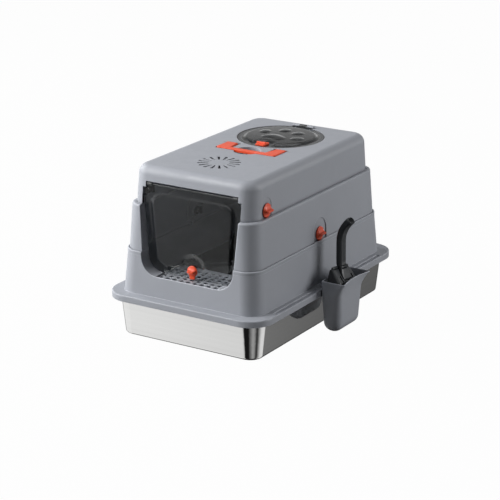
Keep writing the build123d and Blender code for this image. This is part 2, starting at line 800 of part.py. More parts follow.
def make_paw(top_z):
    # Four toes on an arc and one heart-shaped pad, raised a little above the dome.
    toe = Ellipse(toe_width / 2, toe_length / 2)
    motif = Sketch()
    for angle in toe_angles:
        motif += Rot(0, 0, -angle) * Pos(0, toe_ring_radius) * Rot(0, 0, angle / 2) * toe
    pad = Ellipse(pad_width / 2, pad_depth / 2)
    pad -= Pos(0, -pad_depth * 0.62) * Ellipse(pad_width * 0.3, pad_depth * 0.3)
    motif += Pos(0, -pad_back) * pad
    motif = scale(motif, by=paw_scale)
    placed = Pos(0, skylight_y - paw_centre_forward, top_z - 0.2) * Rot(0, 0, paw_tilt) * motif
    return extrude(placed, paw_relief + 0.2)


def slide_tongue_y():
    # Free of the seat at rest. The slide's travel brings the tongue's tip under the seat.
    return skylight_front_y + skylight_seat + slide_seat_gap


def slide_stem_y():
    # Far enough back for the whole travel to stay inside the light hole.
    return skylight_front_y + skylight_seat + slide_travel + slide_seat_gap / 2


def make_slide():
    # Latch slide: thumb tab above the lid, stem through it and a tongue that locks under the seat.
    low_z = seat_z + lid_thickness + face_gap
    high_z = low_z + slide_thickness
    front = skylight_front_y + slide_from_edge + slide_travel
    plate = block((-slide_half_width, front, low_z), (slide_half_width, front + slide_length, high_z))
    plate = fillet(plate.edges().filter_by(Axis.Z), slide_thickness * 0.6)
    tab_y = front + slide_tab_inset
    tab_low = (-slide_half_width, tab_y, high_z - 1)
    tab_high = (slide_half_width, tab_y + slide_tab_thickness, high_z + slide_tab_height)
    tab = fillet(block(tab_low, tab_high).edges().group_by(Axis.Z)[-1], slide_tab_thickness * 0.3)
    stem_y = slide_stem_y()
    tongue_high = seat_z - wall - slide_seat_gap / 3
    tongue_low = tongue_high - slide_tongue_thickness
    stem_low = (-slide_stem_half_width, stem_y, tongue_low)
    stem = block(stem_low, (slide_stem_half_width, stem_y + slide_stem_length, low_z + 1))
    tongue_low_corner = (-slide_tongue_half_width, slide_tongue_y(), tongue_low)
    tongue = block(tongue_low_corner, (slide_tongue_half_width, stem_y + slide_stem_length, tongue_high))
    return plate + tab + stem + tongue


def make_handle():
    # Flat bail: two broad legs, a bar and an eye at the foot of each leg.
    low_z = handle_top_z - handle_thickness
    front = handle_bar_y
    rear_bar = front + handle_bar_width
    outline = [
        (-handle_half_width, front),
        (handle_half_width, front),
        (handle_half_width, handle_axis_y),
        (handle_leg_inner, handle_axis_y),
        (handle_bar_inner, rear_bar),
        (-handle_bar_inner, rear_bar),
        (-handle_leg_inner, handle_axis_y),
        (-handle_half_width, handle_axis_y),
    ]
    face = Plane.XY.offset(low_z) * make_face(Polyline(*outline, close=True))
    bail = extrude(face, handle_thickness)
    bail = fillet(bail.edges().filter_by(Axis.Z).sort_by(Axis.Y)[0:2], handle_bar_width * 0.4)
    bail = fillet(bail.edges().group_by(Axis.Z)[-1], handle_thickness * 0.2)
    eye = rod_x(handle_eye_radius, handle_leg_inner, handle_half_width, handle_axis_y, handle_axis_z)
    bail += both_sides(eye)
    bore_radius = handle_pin_radius + running_clearance
    bore = rod_x(bore_radius, handle_half_width - handle_pin_length, handle_half_width + 1, handle_axis_y,
                 handle_axis_z)
    return bail - both_sides(bore)


def make_handle_pins():
    outer = handle_half_width + handle_side_gap + handle_pin_length / 2
    pin = rod_x(handle_pin_radius, outer - handle_pin_length, outer, handle_axis_y, handle_axis_z)
    return both_sides(pin)


def make_hinge_pin():
    return rod_x(hinge_pin_radius, -hinge_half_width, hinge_half_width, hinge_y, hinge_z)


def door_outline(inset, top_z, foot_z, corner):
    # The opening's outline drawn inwards, cut off at a top level, with rounded foot corners.
    foot = entry_foot_half - inset
    head = entry_half - inset
    points = [
        (-foot, foot_z),
        (foot, foot_z),
        (foot, lower_rim_z),
        (head, middle_rim_z),
        (head, top_z),
        (-head, top_z),
        (-head, middle_rim_z),
        (-foot, lower_rim_z),
    ]
    outline = make_face(Polyline(*points, close=True))
    return fillet(outline.vertices().sort_by(Axis.Y)[0:2], corner)


def field_outline():
    # The raised field: rounded at all corners, with its foot arched over the latch.
    foot_z = door_foot_z + field_foot_margin
    top_z = door_axis_z - field_top_margin
    inset = door_side_gap + field_margin
    field = door_outline(inset, top_z, foot_z, field_corner)
    field = fillet(field.vertices().sort_by(Axis.Y)[-2:], field_corner)
    arch_top = latch_z + arch_height
    arch = Pos(0, arch_top - arch_half_width) * Circle(arch_half_width)
    gate_height = arch_top - arch_half_width - foot_z + 1
    arch += Pos(0, foot_z - 1 + gate_height / 2) * Rectangle(2 * arch_half_width, gate_height)
    return field - arch


def make_door():
    shoulder_z = door_axis_z - door_shoulder_drop
    corner = sill_corner - door_side_gap
    panel = along_y(door_outline(door_side_gap, shoulder_z, door_foot_z, corner), door_face_y, door_back_y)
    neck_half = entry_half - tab_width - face_gap - 1
    neck = block((-neck_half, door_face_y, shoulder_z - 1), (neck_half, door_back_y, door_axis_z))
    barrel = rod_x(door_barrel_radius, neck_half - door_barrel_length, neck_half, door_axis_y, door_axis_z)
    door = panel + neck + both_sides(barrel)
    top_rail = rod_x(door_thickness, -neck_half, neck_half, door_axis_y, door_axis_z)
    door += top_rail
    field = along_y(field_outline(), door_face_y - field_height, door_face_y + 0.2)
    door += field
    dish = along_y(offset(field_outline(), -door_thickness), door_back_y - field_height, door_back_y + 1)
    door -= dish
    door -= both_sides(rod_x(door_pin_radius, neck_half - door_barrel_length - 1, neck_half + 1, door_axis_y,
                             door_axis_z))
    hole_radius = latch_shaft_radius + running_clearance
    return door - rod_y(hole_radius, door_face_y - 5, door_back_y + 5, 0, latch_z)


def make_door_pins():
    neck_half = entry_half - tab_width - face_gap - 1
    outer = entry_half - tab_width + door_pin_depth - wall
    pin = rod_x(door_pin_radius, neck_half - door_barrel_length, outer, door_axis_y, door_axis_z)
    return both_sides(pin)


def turned_grip(disc_radius, disc_thickness, cone_height, fin_height, fin_length, fin_thickness):
    # Disc, shallow cone and a fin across it. It stands on the XY plane, the fin along Y.
    grip = Pos(0, 0, disc_thickness / 2) * Cylinder(disc_radius, disc_thickness)
    grip = fillet(grip.edges().group_by(Axis.Z)[-1], disc_thickness * 0.3)
    cone_base = disc_radius * 0.88
    cone_top = fin_thickness * 0.8
    centred_low = (Align.CENTER, Align.CENTER, Align.MIN)
    grip += Pos(0, 0, disc_thickness) * Cone(cone_base, cone_top, cone_height, align=centred_low)
    foot = RectangleRounded(fin_thickness, fin_length, fin_thickness * 0.45)
    tip = RectangleRounded(fin_thickness * 0.7, fin_length * 0.72, fin_thickness * 0.3)
    fin_foot = Plane.XY.offset(disc_thickness * 0.6) * foot
    fin_tip = Plane.XY.offset(disc_thickness + fin_height) * tip
    fin = loft([fin_foot, fin_tip], ruled=True)
    return grip + fin


def make_latch_knob():
    grip = turned_grip(latch_disc_radius, latch_disc_thickness, latch_cone_height, latch_fin_height,
                       latch_fin_length, latch_fin_thickness)
    face_y = door_face_y - face_gap
    grip = Pos(0, face_y, latch_z) * Rot(90, 0, 0) * Rot(0, 0, 90) * grip
    tongue_low = latch_z - latch_tongue_length
    half = latch_tongue_width / 2
    tongue = block((-half, face_y - latch_disc_thickness, tongue_low), (half, face_y, latch_z))
    tongue = fillet(tongue.edges().filter_by(Axis.Y).group_by(Axis.Z)[0], half * 0.5)
    shaft_back = door_back_y + face_gap + latch_ring_thickness
    shaft = rod_y(latch_shaft_radius, face_y - 1, shaft_back, 0, latch_z)
    return grip + tongue + shaft


def make_latch_ring():
    front = door_back_y + face_gap
    back = front + latch_ring_thickness
    ring = rod_y(latch_ring_radius, front, back, 0, latch_z)
    return ring - rod_y(latch_shaft_radius, front - 1, back + 1, 0, latch_z)


def make_knob(lock_x, lock_y, lock_z):
    # Quarter-turn knob on the right wall: grip outside, shaft through, square drive inside.
    grip = turned_grip(knob_radius, knob_thickness, knob_cone_height, knob_fin_height, knob_fin_length,
                       knob_fin_thickness)
    knob = Pos(lock_x + face_gap, lock_y, lock_z) * Rot(0, 90, 0) * grip
    cam_x = lock_x - lock_wall - face_gap
    knob += rod_x(knob_shaft_radius, cam_x, lock_x + face_gap + 1, lock_y, lock_z)
    half = cam_square / 2
    knob += block((cam_x - cam_square_depth, lock_y - half, lock_z - half),
                  (cam_x + 1, lock_y + half, lock_z + half))
    bore_end = cam_x - cam_thickness + screw_length
    return knob - rod_x(screw_radius, cam_x - 2 * cam_thickness, bore_end, lock_y, lock_z)


def make_cam(lock_x, lock_y, lock_z):
    # Hooked cam. At rest its arm points to the rear, and a quarter turn brings the toe under the keeper.
    arm_end = cam_arm_length
    half = cam_arm_width / 2
    shape = Circle(cam_hub_radius)
    shape += Pos(arm_end / 2, 0) * Rectangle(arm_end, cam_arm_width)
    toe_low = -cam_toe_reach
    toe_centre = (toe_low + half) / 2
    shape += Pos(arm_end - cam_toe_width / 2, toe_centre) * Rectangle(cam_toe_width, half - toe_low)
    cam_x = lock_x - lock_wall - face_gap
    cam = Pos(0, lock_y, lock_z) * along_x(shape, cam_x - cam_thickness, cam_x)
    square_half = cam_square / 2
    cam -= block((cam_x - cam_square_depth, lock_y - square_half, lock_z - square_half),
                 (cam_x + 1, lock_y + square_half, lock_z + square_half))
    return cam - rod_x(screw_radius, cam_x - 2 * cam_thickness, cam_x, lock_y, lock_z)


def make_cam_screw(lock_x, lock_y, lock_z):
    head_x = lock_x - lock_wall - face_gap - cam_thickness
    screw = rod_x(screw_radius, head_x - 1, head_x + screw_length, lock_y, lock_z)
    screw += rod_x(screw_head_radius, head_x - screw_head_height, head_x, lock_y, lock_z)
    slot_half = screw_radius * 0.3
    slot_low = (head_x - screw_head_height - 1, lock_y - screw_head_radius, lock_z - slot_half)
    slot_high = (head_x - screw_head_height / 2, lock_y + screw_head_radius, lock_z + slot_half)
    return screw - block(slot_low, slot_high)


# The holder hangs on the flange. The scoop's lower rear corner stands on the pocket's rest.
holder_back_x = flange_half[0] + holder_standoff
holder_rest_z = holder_floor_rise + holder_rest_height
scoop_foot_half = scoop_foot_width / 2
scoop_back_x = holder_back_x + holder_wall + scoop_standoff
scoop_foot_z = holder_rest_z + scoop_foot_half * sin(radians(scoop_lean))


def holder_section(z, depth, front, rear, outer_corner, back_corner, dent, inset):
    # Rounded outline at a level, with its own radius for the corners by the flange. A dent draws
    # the middle of the outer side inwards along an arc.
    low_x = holder_back_x + inset
    high_x = holder_back_x + depth - inset
    low_y = front + inset
    high_y = rear - inset
    outer_low = (high_x, low_y)
    outer_high = (high_x, high_y)
    outer_side = Line(outer_high, outer_low)
    if dent:
        outer_side = ThreePointArc(outer_high, (high_x - dent, (low_y + high_y) / 2), outer_low)
    outline = make_face(Polyline(outer_low, (low_x, low_y), (low_x, high_y), outer_high) + outer_side)
    outline = fillet(outline.vertices().group_by(Axis.X)[-1], outer_corner - inset)
    outline = fillet(outline.vertices().group_by(Axis.X)[0], back_corner - inset)
    return Plane.XY.offset(z) * outline


def holder_body(inset, floor_z, rim_z):
    # Pocket that widens a little upwards, and whose top flares at its outer corners and to the rear.
    shoulder_z = holder_floor_rise + holder_height
    foot_corner = holder_foot_corner
    foot = holder_section(floor_z, holder_depth - holder_taper, holder_front + holder_taper,
                          holder_rear - holder_taper, foot_corner, foot_corner, 0, inset)
    middle = holder_section(shoulder_z, holder_depth, holder_front, holder_rear, holder_corner,
                            holder_back_corner, 0, inset)
    mouth = holder_section(rim_z, holder_depth + holder_flare_out, holder_front,
                           holder_rear + holder_flare_rear, holder_mouth_corner, holder_back_corner,
                           holder_mouth_dent, inset)
    return loft([foot, middle], ruled=True), loft([middle, mouth], ruled=True)


def make_holder():
    rim_z = holder_floor_rise + holder_height + holder_flare_height
    low, high = holder_body(0, holder_floor_rise, rim_z)
    low = fillet(low.faces().sort_by(Axis.Z)[0].edges(), holder_bottom_round)
    inner_low, inner_high = holder_body(holder_wall, holder_floor_rise, rim_z)
    floor_cut = block((0, -pan_length, 0), (2 * pan_width, pan_length, holder_floor_rise + holder_wall))
    inner_low -= floor_cut
    inner_low = fillet(inner_low.faces().sort_by(Axis.Z)[0].edges(), holder_bottom_round - holder_wall)
    body = low + high - inner_low - inner_high
    rest_y = scoop_foot_y + scoop_foot_half * cos(radians(scoop_lean))
    in_wall = holder_wall / 2
    rest_low = (holder_back_x + in_wall, rest_y - holder_rest_half, holder_floor_rise + in_wall)
    rest_high = (scoop_back_x + scoop_foot_depth, rest_y + holder_rest_half, holder_rest_z)
    body += block(rest_low, rest_high)
    groove_out = flange_half[0] - groove_inset
    hook_in = groove_out - groove_width + 0.8
    hook_centre = (holder_front + holder_rear) / 2
    hook_front = hook_centre - hook_width / 2
    hook_rear = hook_centre + hook_width / 2
    hook_top = frame_base_z + hook_thickness
    plate = block((hook_in, hook_front, frame_base_z), (holder_back_x + holder_wall, hook_rear, hook_top))
    lip_low = frame_base_z - groove_depth + face_gap
    lip = block((hook_in, hook_front, lip_low), (hook_in + wall, hook_rear, hook_top))
    return body + plate + lip


def scoop_front(inset):
    # The head in Y and Z: widest where its hood begins, with cut shoulders above a square foot.
    shoulder_z = scoop_height - scoop_hood_drop
    foot = scoop_foot_half - inset
    shoulder = scoop_shoulder_width / 2 - inset
    top = scoop_top_width / 2 - inset
    points = [
        (-foot, inset),
        (foot, inset),
        (shoulder, shoulder_z),
        (top, scoop_height - inset),
        (-top, scoop_height - inset),
        (-shoulder, shoulder_z),
    ]
    outline = make_face(Polyline(*points, close=True))
    return fillet(outline.vertices().sort_by(Axis.Y)[2:], scoop_corner - inset)


def scoop_side(inset, open_by):
    # The head in X and Z: it deepens up to the hood, which slopes back to the grip.
    points = [
        (-open_by, inset),
        (scoop_foot_depth - inset, inset),
        (scoop_shoulder_depth - inset, scoop_height - scoop_hood_drop),
        (grip_thickness - inset, scoop_height - inset),
        (-open_by, scoop_height - inset),
    ]
    return make_face(Polyline(*points, close=True))


def scoop_head(inset, open_by):
    reach = scoop_shoulder_width
    head = along_x(scoop_front(inset), -open_by, scoop_shoulder_depth)
    return head & along_y(scoop_side(inset, open_by), -reach, reach)


def make_scoop():
    # Slotted head, open to the flange's side, on a flat grip that curls outwards.
    head = scoop_head(0, 0) - scoop_head(scoop_sheet, scoop_sheet)
    for index in range(scoop_slots):
        y = (index - (scoop_slots - 1) / 2) * scoop_slot_pitch
        low = (-1, y - scoop_slot_width / 2, scoop_slot_low)
        high = (scoop_shoulder_depth + 1, y + scoop_slot_width / 2, scoop_slot_high)
        head -= block(low, high)
    placed = Pos(scoop_back_x, scoop_foot_y, scoop_foot_z) * Rot(-scoop_lean, 0, 0)
    return placed * (head + make_grip())


def make_grip():
    # Strap: straight at first, then an arc that leans outwards, with a rounded end.
    low_z = scoop_height - scoop_sheet
    bend_z = scoop_height + grip_straight
    turn = radians(grip_bend_angle)
    outer = grip_bend_radius + grip_thickness / 2
    inner = grip_bend_radius - grip_thickness / 2
    half_turn = turn / 2

    def on_arc(radius, angle):
        return (outer - radius * cos(angle), bend_z + radius * sin(angle))

    end_mid = on_arc(grip_bend_radius, turn)
    tip = (end_mid[0] + sin(turn) * grip_thickness / 2, end_mid[1] + cos(turn) * grip_thickness / 2)
    outline = Line((0, low_z), on_arc(outer, 0))
    outline += ThreePointArc(on_arc(outer, 0), on_arc(outer, half_turn), on_arc(outer, turn))
    outline += ThreePointArc(on_arc(outer, turn), tip, on_arc(inner, turn))
    outline += ThreePointArc(on_arc(inner, turn), on_arc(inner, half_turn), on_arc(inner, 0))
    outline += Line(on_arc(inner, 0), (grip_thickness, low_z))
    outline += Line((grip_thickness, low_z), (0, low_z))
    half = grip_width / 2
    strap = along_y(make_face(outline), -half, half)
    return fillet(strap.edges().group_by(Axis.Y)[0] + strap.edges().group_by(Axis.Y)[-1], grip_edge_round)


upper_lock = (upper_lock_x, upper_lock_y, upper_lock_z)
middle_lock = (middle_lock_x, middle_lock_y, middle_lock_z)

pieces = {
    "steel_pan": make_pan(),
    "lower_frame": make_lower_frame(),
    "step_grate": make_grate(),
    "middle_frame": make_middle_frame(),
    "top_cover": make_cover(),
    "filter_tray": make_tray(),
    "carbon_filter": make_filter(),
    "skylight_lid": make_lid(),
    "skylight_hinge_pin": make_hinge_pin(),
    "skylight_latch": make_slide(),
    "carry_handle": make_handle(),
    "handle_pins": make_handle_pins(),
    "entry_door": make_door(),
    "door_pins": make_door_pins(),
    "door_latch_knob": make_latch_knob(),
    "door_latch_ring": make_latch_ring(),
    "scoop_holder": make_holder(),
    "scoop": make_scoop(),
}
for level, lock in (("upper", upper_lock), ("middle", middle_lock)):
    for name, maker in (("knob", make_knob), ("cam", make_cam), ("cam_screw", make_cam_screw)):
        right_piece = maker(*lock)
        pieces[f"{level}_{name}_right"] = right_piece
        pieces[f"{level}_{name}_left"] = mirror(right_piece, about=Plane.YZ)

os.makedirs("parts", exist_ok=True)
for name, piece in pieces.items():
    export_step(piece, f"parts/{name}.step")
    print(name, len(piece.solids()), round(piece.volume))
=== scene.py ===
import json
import math

import bmesh
import bpy
import numpy as np
from mathutils import Matrix, Vector


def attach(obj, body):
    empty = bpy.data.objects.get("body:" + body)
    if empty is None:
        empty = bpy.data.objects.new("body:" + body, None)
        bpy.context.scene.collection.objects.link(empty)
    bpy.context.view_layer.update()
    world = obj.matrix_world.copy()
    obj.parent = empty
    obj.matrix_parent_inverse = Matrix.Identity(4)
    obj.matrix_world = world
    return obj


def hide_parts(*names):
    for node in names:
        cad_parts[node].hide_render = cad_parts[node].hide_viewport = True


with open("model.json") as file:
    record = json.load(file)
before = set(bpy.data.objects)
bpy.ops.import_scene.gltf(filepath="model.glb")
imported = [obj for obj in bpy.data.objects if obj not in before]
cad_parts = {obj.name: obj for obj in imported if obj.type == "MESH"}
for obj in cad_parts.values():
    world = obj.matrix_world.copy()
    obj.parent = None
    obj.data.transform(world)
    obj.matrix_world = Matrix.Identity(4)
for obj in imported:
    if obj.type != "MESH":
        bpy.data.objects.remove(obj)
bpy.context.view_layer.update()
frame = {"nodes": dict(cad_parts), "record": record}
nodes = frame["nodes"]
print("frame loaded:", len(nodes), "nodes")

mm = 0.001


# colours

def linear(red, green, blue):
    # sRGB 0-255 to the linear values that shaders take
    values = np.array([red, green, blue]) / 255.0
    low = values / 12.92
    high = ((values + 0.055) / 1.055) ** 2.4
    return tuple(float(v) for v in np.where(values <= 0.04045, low, high))


def rgba(colour):
    return (*colour, 1.0)


# small helpers for node trees

def feed(tree, node, inputs):
    # inputs: socket names or numbers, each with its value or with the socket that feeds it
    for key, value in inputs.items():
        if isinstance(value, bpy.types.NodeSocket):
            tree.links.new(value, node.inputs[key])
        else:
            node.inputs[key].default_value = value


def addNode(tree, kind, inputs=None, **settings):
    node = tree.nodes.new(kind)
    for key, value in settings.items():
        setattr(node, key, value)
    feed(tree, node, inputs or {})
    return node


def placeGroup(tree, group, inputs):
    return addNode(tree, "ShaderNodeGroup", inputs, node_tree=group).outputs


def maths(tree, operation, *inputs, **settings):
    node = addNode(tree, "ShaderNodeMath", dict(enumerate(inputs)), operation=operation, **settings)
    return node.outputs["Value"]


def vectorMaths(tree, operation, *inputs):
    node = addNode(tree, "ShaderNodeVectorMath", dict(enumerate(inputs)), operation=operation)
    return node.outputs["Value" if operation in ("DOT_PRODUCT", "LENGTH") else "Vector"]


def mapped(tree, source, low, high, fromLow=0.3, fromHigh=0.7):
    # the default range is where most of a noise texture's values lie
    return addNode(tree, "ShaderNodeMapRange", {
        "Value": source, "From Min": fromLow, "From Max": fromHigh, "To Min": low,
        "To Max": high}).outputs["Result"]


def mixColour(tree, factor, first, second):
    # first and second are colours or sockets
    first, second = (rgba(c) if isinstance(c, tuple) else c for c in (first, second))
    inputs = {0: factor, 6: first, 7: second}
    return addNode(tree, "ShaderNodeMix", inputs, data_type="RGBA").outputs[2]


def mixShader(tree, factor, first, second):
    inputs = {"Fac": factor, 1: first, 2: second}
    return addNode(tree, "ShaderNodeMixShader", inputs).outputs["Shader"]


def bumped(tree, height, strength, distance, **inputs):
    return addNode(tree, "ShaderNodeBump", {"Height": height, "Strength": strength,
                                            "Distance": distance, **inputs}).outputs["Normal"]


def shaded(colour, factor):
    return tuple(min(1.0, channel * factor) for channel in colour)


def newGroup(name, inputs, outputs):
    # inputs: names with default values; outputs: names with the kind of socket
    group = bpy.data.node_groups.new(name, "ShaderNodeTree")
    for key, default in inputs.items():
        socket = group.interface.new_socket(key, in_out="INPUT", socket_type="NodeSocketFloat")
        socket.default_value = default
    for key, kind in outputs.items():
        group.interface.new_socket(key, in_out="OUTPUT", socket_type="NodeSocket" + kind)
    return group, addNode(group, "NodeGroupInput").outputs, addNode(group, "NodeGroupOutput")


def buildGrainGroup():
    # moulded grain: fine noise for the height, a slow drift of tone and a mask of smudges, all on
    # Object coordinates
    group, given, out = newGroup("mouldedGrain", {"Grain Scale": 900.0, "Drift Scale": 9.0},
                                 {"Height": "Float", "Tone": "Float", "Smudge": "Float"})
    place = addNode(group, "ShaderNodeTexCoord").outputs["Object"]

    def noise(**inputs):
        return addNode(group, "ShaderNodeTexNoise", {"Vector": place, **inputs}).outputs["Fac"]

    smudge = noise(Scale=34.0, Detail=5.0, Roughness=0.7)
    feed(group, out, {"Height": noise(Scale=given["Grain Scale"], Detail=3.0, Roughness=0.62),
                      "Tone": noise(Scale=given["Drift Scale"], Detail=4.0, Distortion=0.6),
                      "Smudge": mapped(group, smudge, 0.0, 1.0, fromLow=0.42, fromHigh=0.68)})
    return group


def buildEdgeGroup():
    # soft edge: a rounded normal, and a mask that is 1 where that normal leaves the flat one
    group, given, out = newGroup("softEdge", {"Radius": 0.8 * mm, "Mask Gain": 6.0},
                                 {"Normal": "Vector", "Edge": "Float"})
    bevel = addNode(group, "ShaderNodeBevel", {"Radius": given["Radius"]}, samples=6)
    rounded = bevel.outputs["Normal"]
    flat = addNode(group, "ShaderNodeNewGeometry").outputs["Normal"]
    lost = maths(group, "SUBTRACT", 1.0, vectorMaths(group, "DOT_PRODUCT", rounded, flat))
    feed(group, out, {"Normal": rounded,
                      "Edge": maths(group, "MULTIPLY", lost, given["Mask Gain"], use_clamp=True)})
    return group


def buildScratchGroup():
    # hairlines: noise stretched along X and Y of the Object coordinates, for drawn steel
    group, given, out = newGroup("hairlines", {"Length": 6.0, "Pitch": 900.0},
                                 {"Height": "Float", "Streak": "Float"})
    place = addNode(group, "ShaderNodeTexCoord").outputs["Object"]
    stretch = addNode(group, "ShaderNodeCombineXYZ",
                      {"X": given["Length"], "Y": given["Length"], "Z": given["Pitch"]})
    scaled = vectorMaths(group, "MULTIPLY", place, stretch.outputs["Vector"])
    for key, scale in (("Height", 1.0), ("Streak", 0.07)):
        noise = addNode(group, "ShaderNodeTexNoise",
                        {"Vector": scaled, "Scale": scale, "Detail": 3.0})
        feed(group, out, {key: noise.outputs["Fac"]})
    return group


grainGroup = buildGrainGroup()
edgeGroup = buildEdgeGroup()
scratchGroup = buildScratchGroup()


def newMaterial(name):
    material = bpy.data.materials.new(name)
    material.use_nodes = True
    return material, material.node_tree, material.node_tree.nodes["Principled BSDF"]


def driftingColour(tree, look):
    # the grain group's outputs, and the look's colour drifting with their tone
    grain = placeGroup(tree, grainGroup, {"Grain Scale": look["grainScale"],
                                          "Drift Scale": look["driftScale"]})
    pale, deep = (shaded(look["colour"], 1 + sign * look["drift"]) for sign in (1, -1))
    return grain, mixColour(tree, mapped(tree, grain["Tone"], 0.0, 1.0), deep, pale)


# colour factors for the painted highlight along edges and for the painted shade in crevices
mouldedLook = {"ior": 1.46, "highlightShade": 1.9, "crevicePaintedShade": 0.3, "grainDepth": 0.2 * mm,
               "creviceRange": (0.15, 0.75)}


def mouldedPlastic(name, look):
    # grain bump and rounded edges over a base colour that drifts a little, with a painted highlight
    # along the edges and painted shade in crevices
    material, tree, surface = newMaterial(name)
    look = {**mouldedLook, **look}
    colour = look["colour"]
    grain, body = driftingColour(tree, look)
    edge = placeGroup(tree, edgeGroup, {"Radius": look["edgeRadius"], "Mask Gain": look["edgeMaskGain"]})
    # painted highlight: the colour lightened along rounded edges, up to edgeLight
    paintedHighlight = mapped(tree, edge["Edge"], 0.0, look["edgeLight"], 0.0, 1.0)
    highlighted = mixColour(tree, paintedHighlight, body, shaded(colour, look["highlightShade"]))
    # painted shade: the colour darkened where ambient occlusion finds a crevice
    crevice = addNode(tree, "ShaderNodeAmbientOcclusion", {"Distance": look["creviceDepth"]},
                      samples=6)
    paintedShade = mapped(tree, crevice.outputs["AO"], 1.0, 0.0, *look["creviceRange"])
    feed(tree, surface, {
        "Base Color": mixColour(tree, paintedShade, highlighted, shaded(colour, look["crevicePaintedShade"])),
        "Roughness": mapped(tree, grain["Smudge"], *look["roughness"], 0.0, 1.0),
        "Normal": bumped(tree, grain["Height"], look["bump"], look["grainDepth"],
                         Normal=edge["Normal"]),
        "IOR": look["ior"]})
    return material


def ringTint(tree, tint, ring):
    # tinted by distance from the lid's middle: dark field, light rim, and a dark outer edge,
    # painted shade of the gap round the lid
    place = addNode(tree, "ShaderNodeTexCoord").outputs["Object"]
    shift = vectorMaths(tree, "SUBTRACT", place, (0.0, ring["centreY"] * mm, 0.0))
    away = vectorMaths(tree, "LENGTH", vectorMaths(tree, "MULTIPLY", shift, (1.0, 1.0, 0.0)))
    for radius, blend, colour in ring["steps"]:
        beyond = mapped(tree, away, 0.0, 1.0, (radius - blend) * mm, (radius + blend) * mm)
        tint = mixColour(tree, beyond, tint, colour)
    return tint


sheetLook = {"ior": 1.49, "drift": 0.07, "driftScale": 14.0, "ripple": 0.04,
             "rippleDepth": 0.4 * mm}


def smokedPlastic(name, look):
    # clear tinted sheet: transmission with faint ripples and smudges; shadow and diffuse rays pass
    # straight through, tinted, so that the room behind it is lit
    material, tree, surface = newMaterial(name)
    look = {**sheetLook, **look}
    grain, tint = driftingColour(tree, look)
    if "ring" in look:
        tint = ringTint(tree, tint, look["ring"])
    feed(tree, surface, {
        "Base Color": tint, "Transmission Weight": 1.0, "IOR": look["ior"],
        "Roughness": mapped(tree, grain["Smudge"], *look["roughness"], 0.0, 1.0),
        "Normal": bumped(tree, grain["Tone"], look["ripple"], look["rippleDepth"])})
    thin = addNode(tree, "ShaderNodeBsdfTransparent",
                   {"Color": tint if "ring" in look else rgba(look["passing"])})
    ray = addNode(tree, "ShaderNodeLightPath").outputs
    passing = maths(tree, "MAXIMUM", ray["Is Shadow Ray"], ray["Is Diffuse Ray"])
    both = mixShader(tree, passing, surface.outputs["BSDF"], thin.outputs["BSDF"])
    feed(tree, tree.nodes["Material Output"], {"Surface": both})
    return material


def steelSheet(name, look):
    # hairlines in the height and the roughness, slow streaks in the colour
    material, tree, surface = newMaterial(name)
    lines = placeGroup(tree, scratchGroup, {"Length": look["lineLength"],
                                            "Pitch": look["linePitch"]})
    edge = placeGroup(tree, edgeGroup, {"Radius": look["edgeRadius"]})
    feed(tree, surface, {
        "Base Color": mixColour(tree, mapped(tree, lines["Streak"], 0.0, 1.0),
                                shaded(look["colour"], look["streakShade"]), look["colour"]),
        "Roughness": mapped(tree, lines["Height"], *look["roughness"]),
        "Normal": bumped(tree, lines["Height"], look["bump"], look["lineDepth"],
                         Normal=edge["Normal"]),
        "Metallic": 1.0})
    return material


def carbonFoam(name, look):
    # open black foam: cells as a Voronoi height, the colour lighter towards the cell crests
    material, tree, surface = newMaterial(name)
    place = addNode(tree, "ShaderNodeTexCoord").outputs["Object"]
    cells = addNode(tree, "ShaderNodeTexVoronoi", {"Vector": place, "Scale": look["cellScale"]})
    depth = cells.outputs["Distance"]
    crest = mapped(tree, depth, 0.0, 1.0, *look["crestRange"])
    feed(tree, surface, {
        "Base Color": mixColour(tree, crest, look["colour"],
                                shaded(look["colour"], look["crestShade"])),
        "Roughness": look["roughness"],
        "Normal": bumped(tree, depth, look["bump"], look["cellDepth"])})
    return material


# in each look the edge settings give the width and strength of the painted highlight along edges,
# the crevice settings the reach of the painted shade in hollows
shellLook = {"colour": linear(157, 160, 167), "drift": 0.025, "grainScale": 1500.0,
             "driftScale": 7.0, "edgeRadius": 2.8 * mm, "edgeMaskGain": 8.0, "edgeLight": 0.95,
             "roughness": (0.42, 0.56), "bump": 0.22, "creviceDepth": 5.0 * mm}
# the cover: a thinner painted edge highlight and deeper painted shade in its vent slots and gaps
coverLook = dict(shellLook, edgeRadius=0.7 * mm, edgeLight=0.6, creviceDepth=8.0 * mm,
                 creviceRange=(0.3, 0.92))
innerLook = dict(shellLook, colour=linear(150, 153, 160), edgeLight=0.2)
orangeLook = {"colour": linear(232, 84, 48), "drift": 0.05, "grainScale": 1300.0,
              "driftScale": 30.0, "edgeRadius": 0.6 * mm, "edgeMaskGain": 4.0, "edgeLight": 0.3,
              "roughness": (0.32, 0.46), "bump": 0.12, "creviceDepth": 3.0 * mm}
blackLook = {"colour": linear(28, 32, 36), "drift": 0.10, "grainScale": 1400.0, "driftScale": 22.0,
             "edgeRadius": 0.7 * mm, "edgeMaskGain": 5.0, "edgeLight": 0.5, "roughness": (0.36, 0.52),
             "bump": 0.2, "creviceDepth": 6.0 * mm}
doorLook = {"colour": linear(214, 217, 218), "passing": linear(252, 252, 252), "grainScale": 200.0,
            "roughness": (0.03, 0.08)}
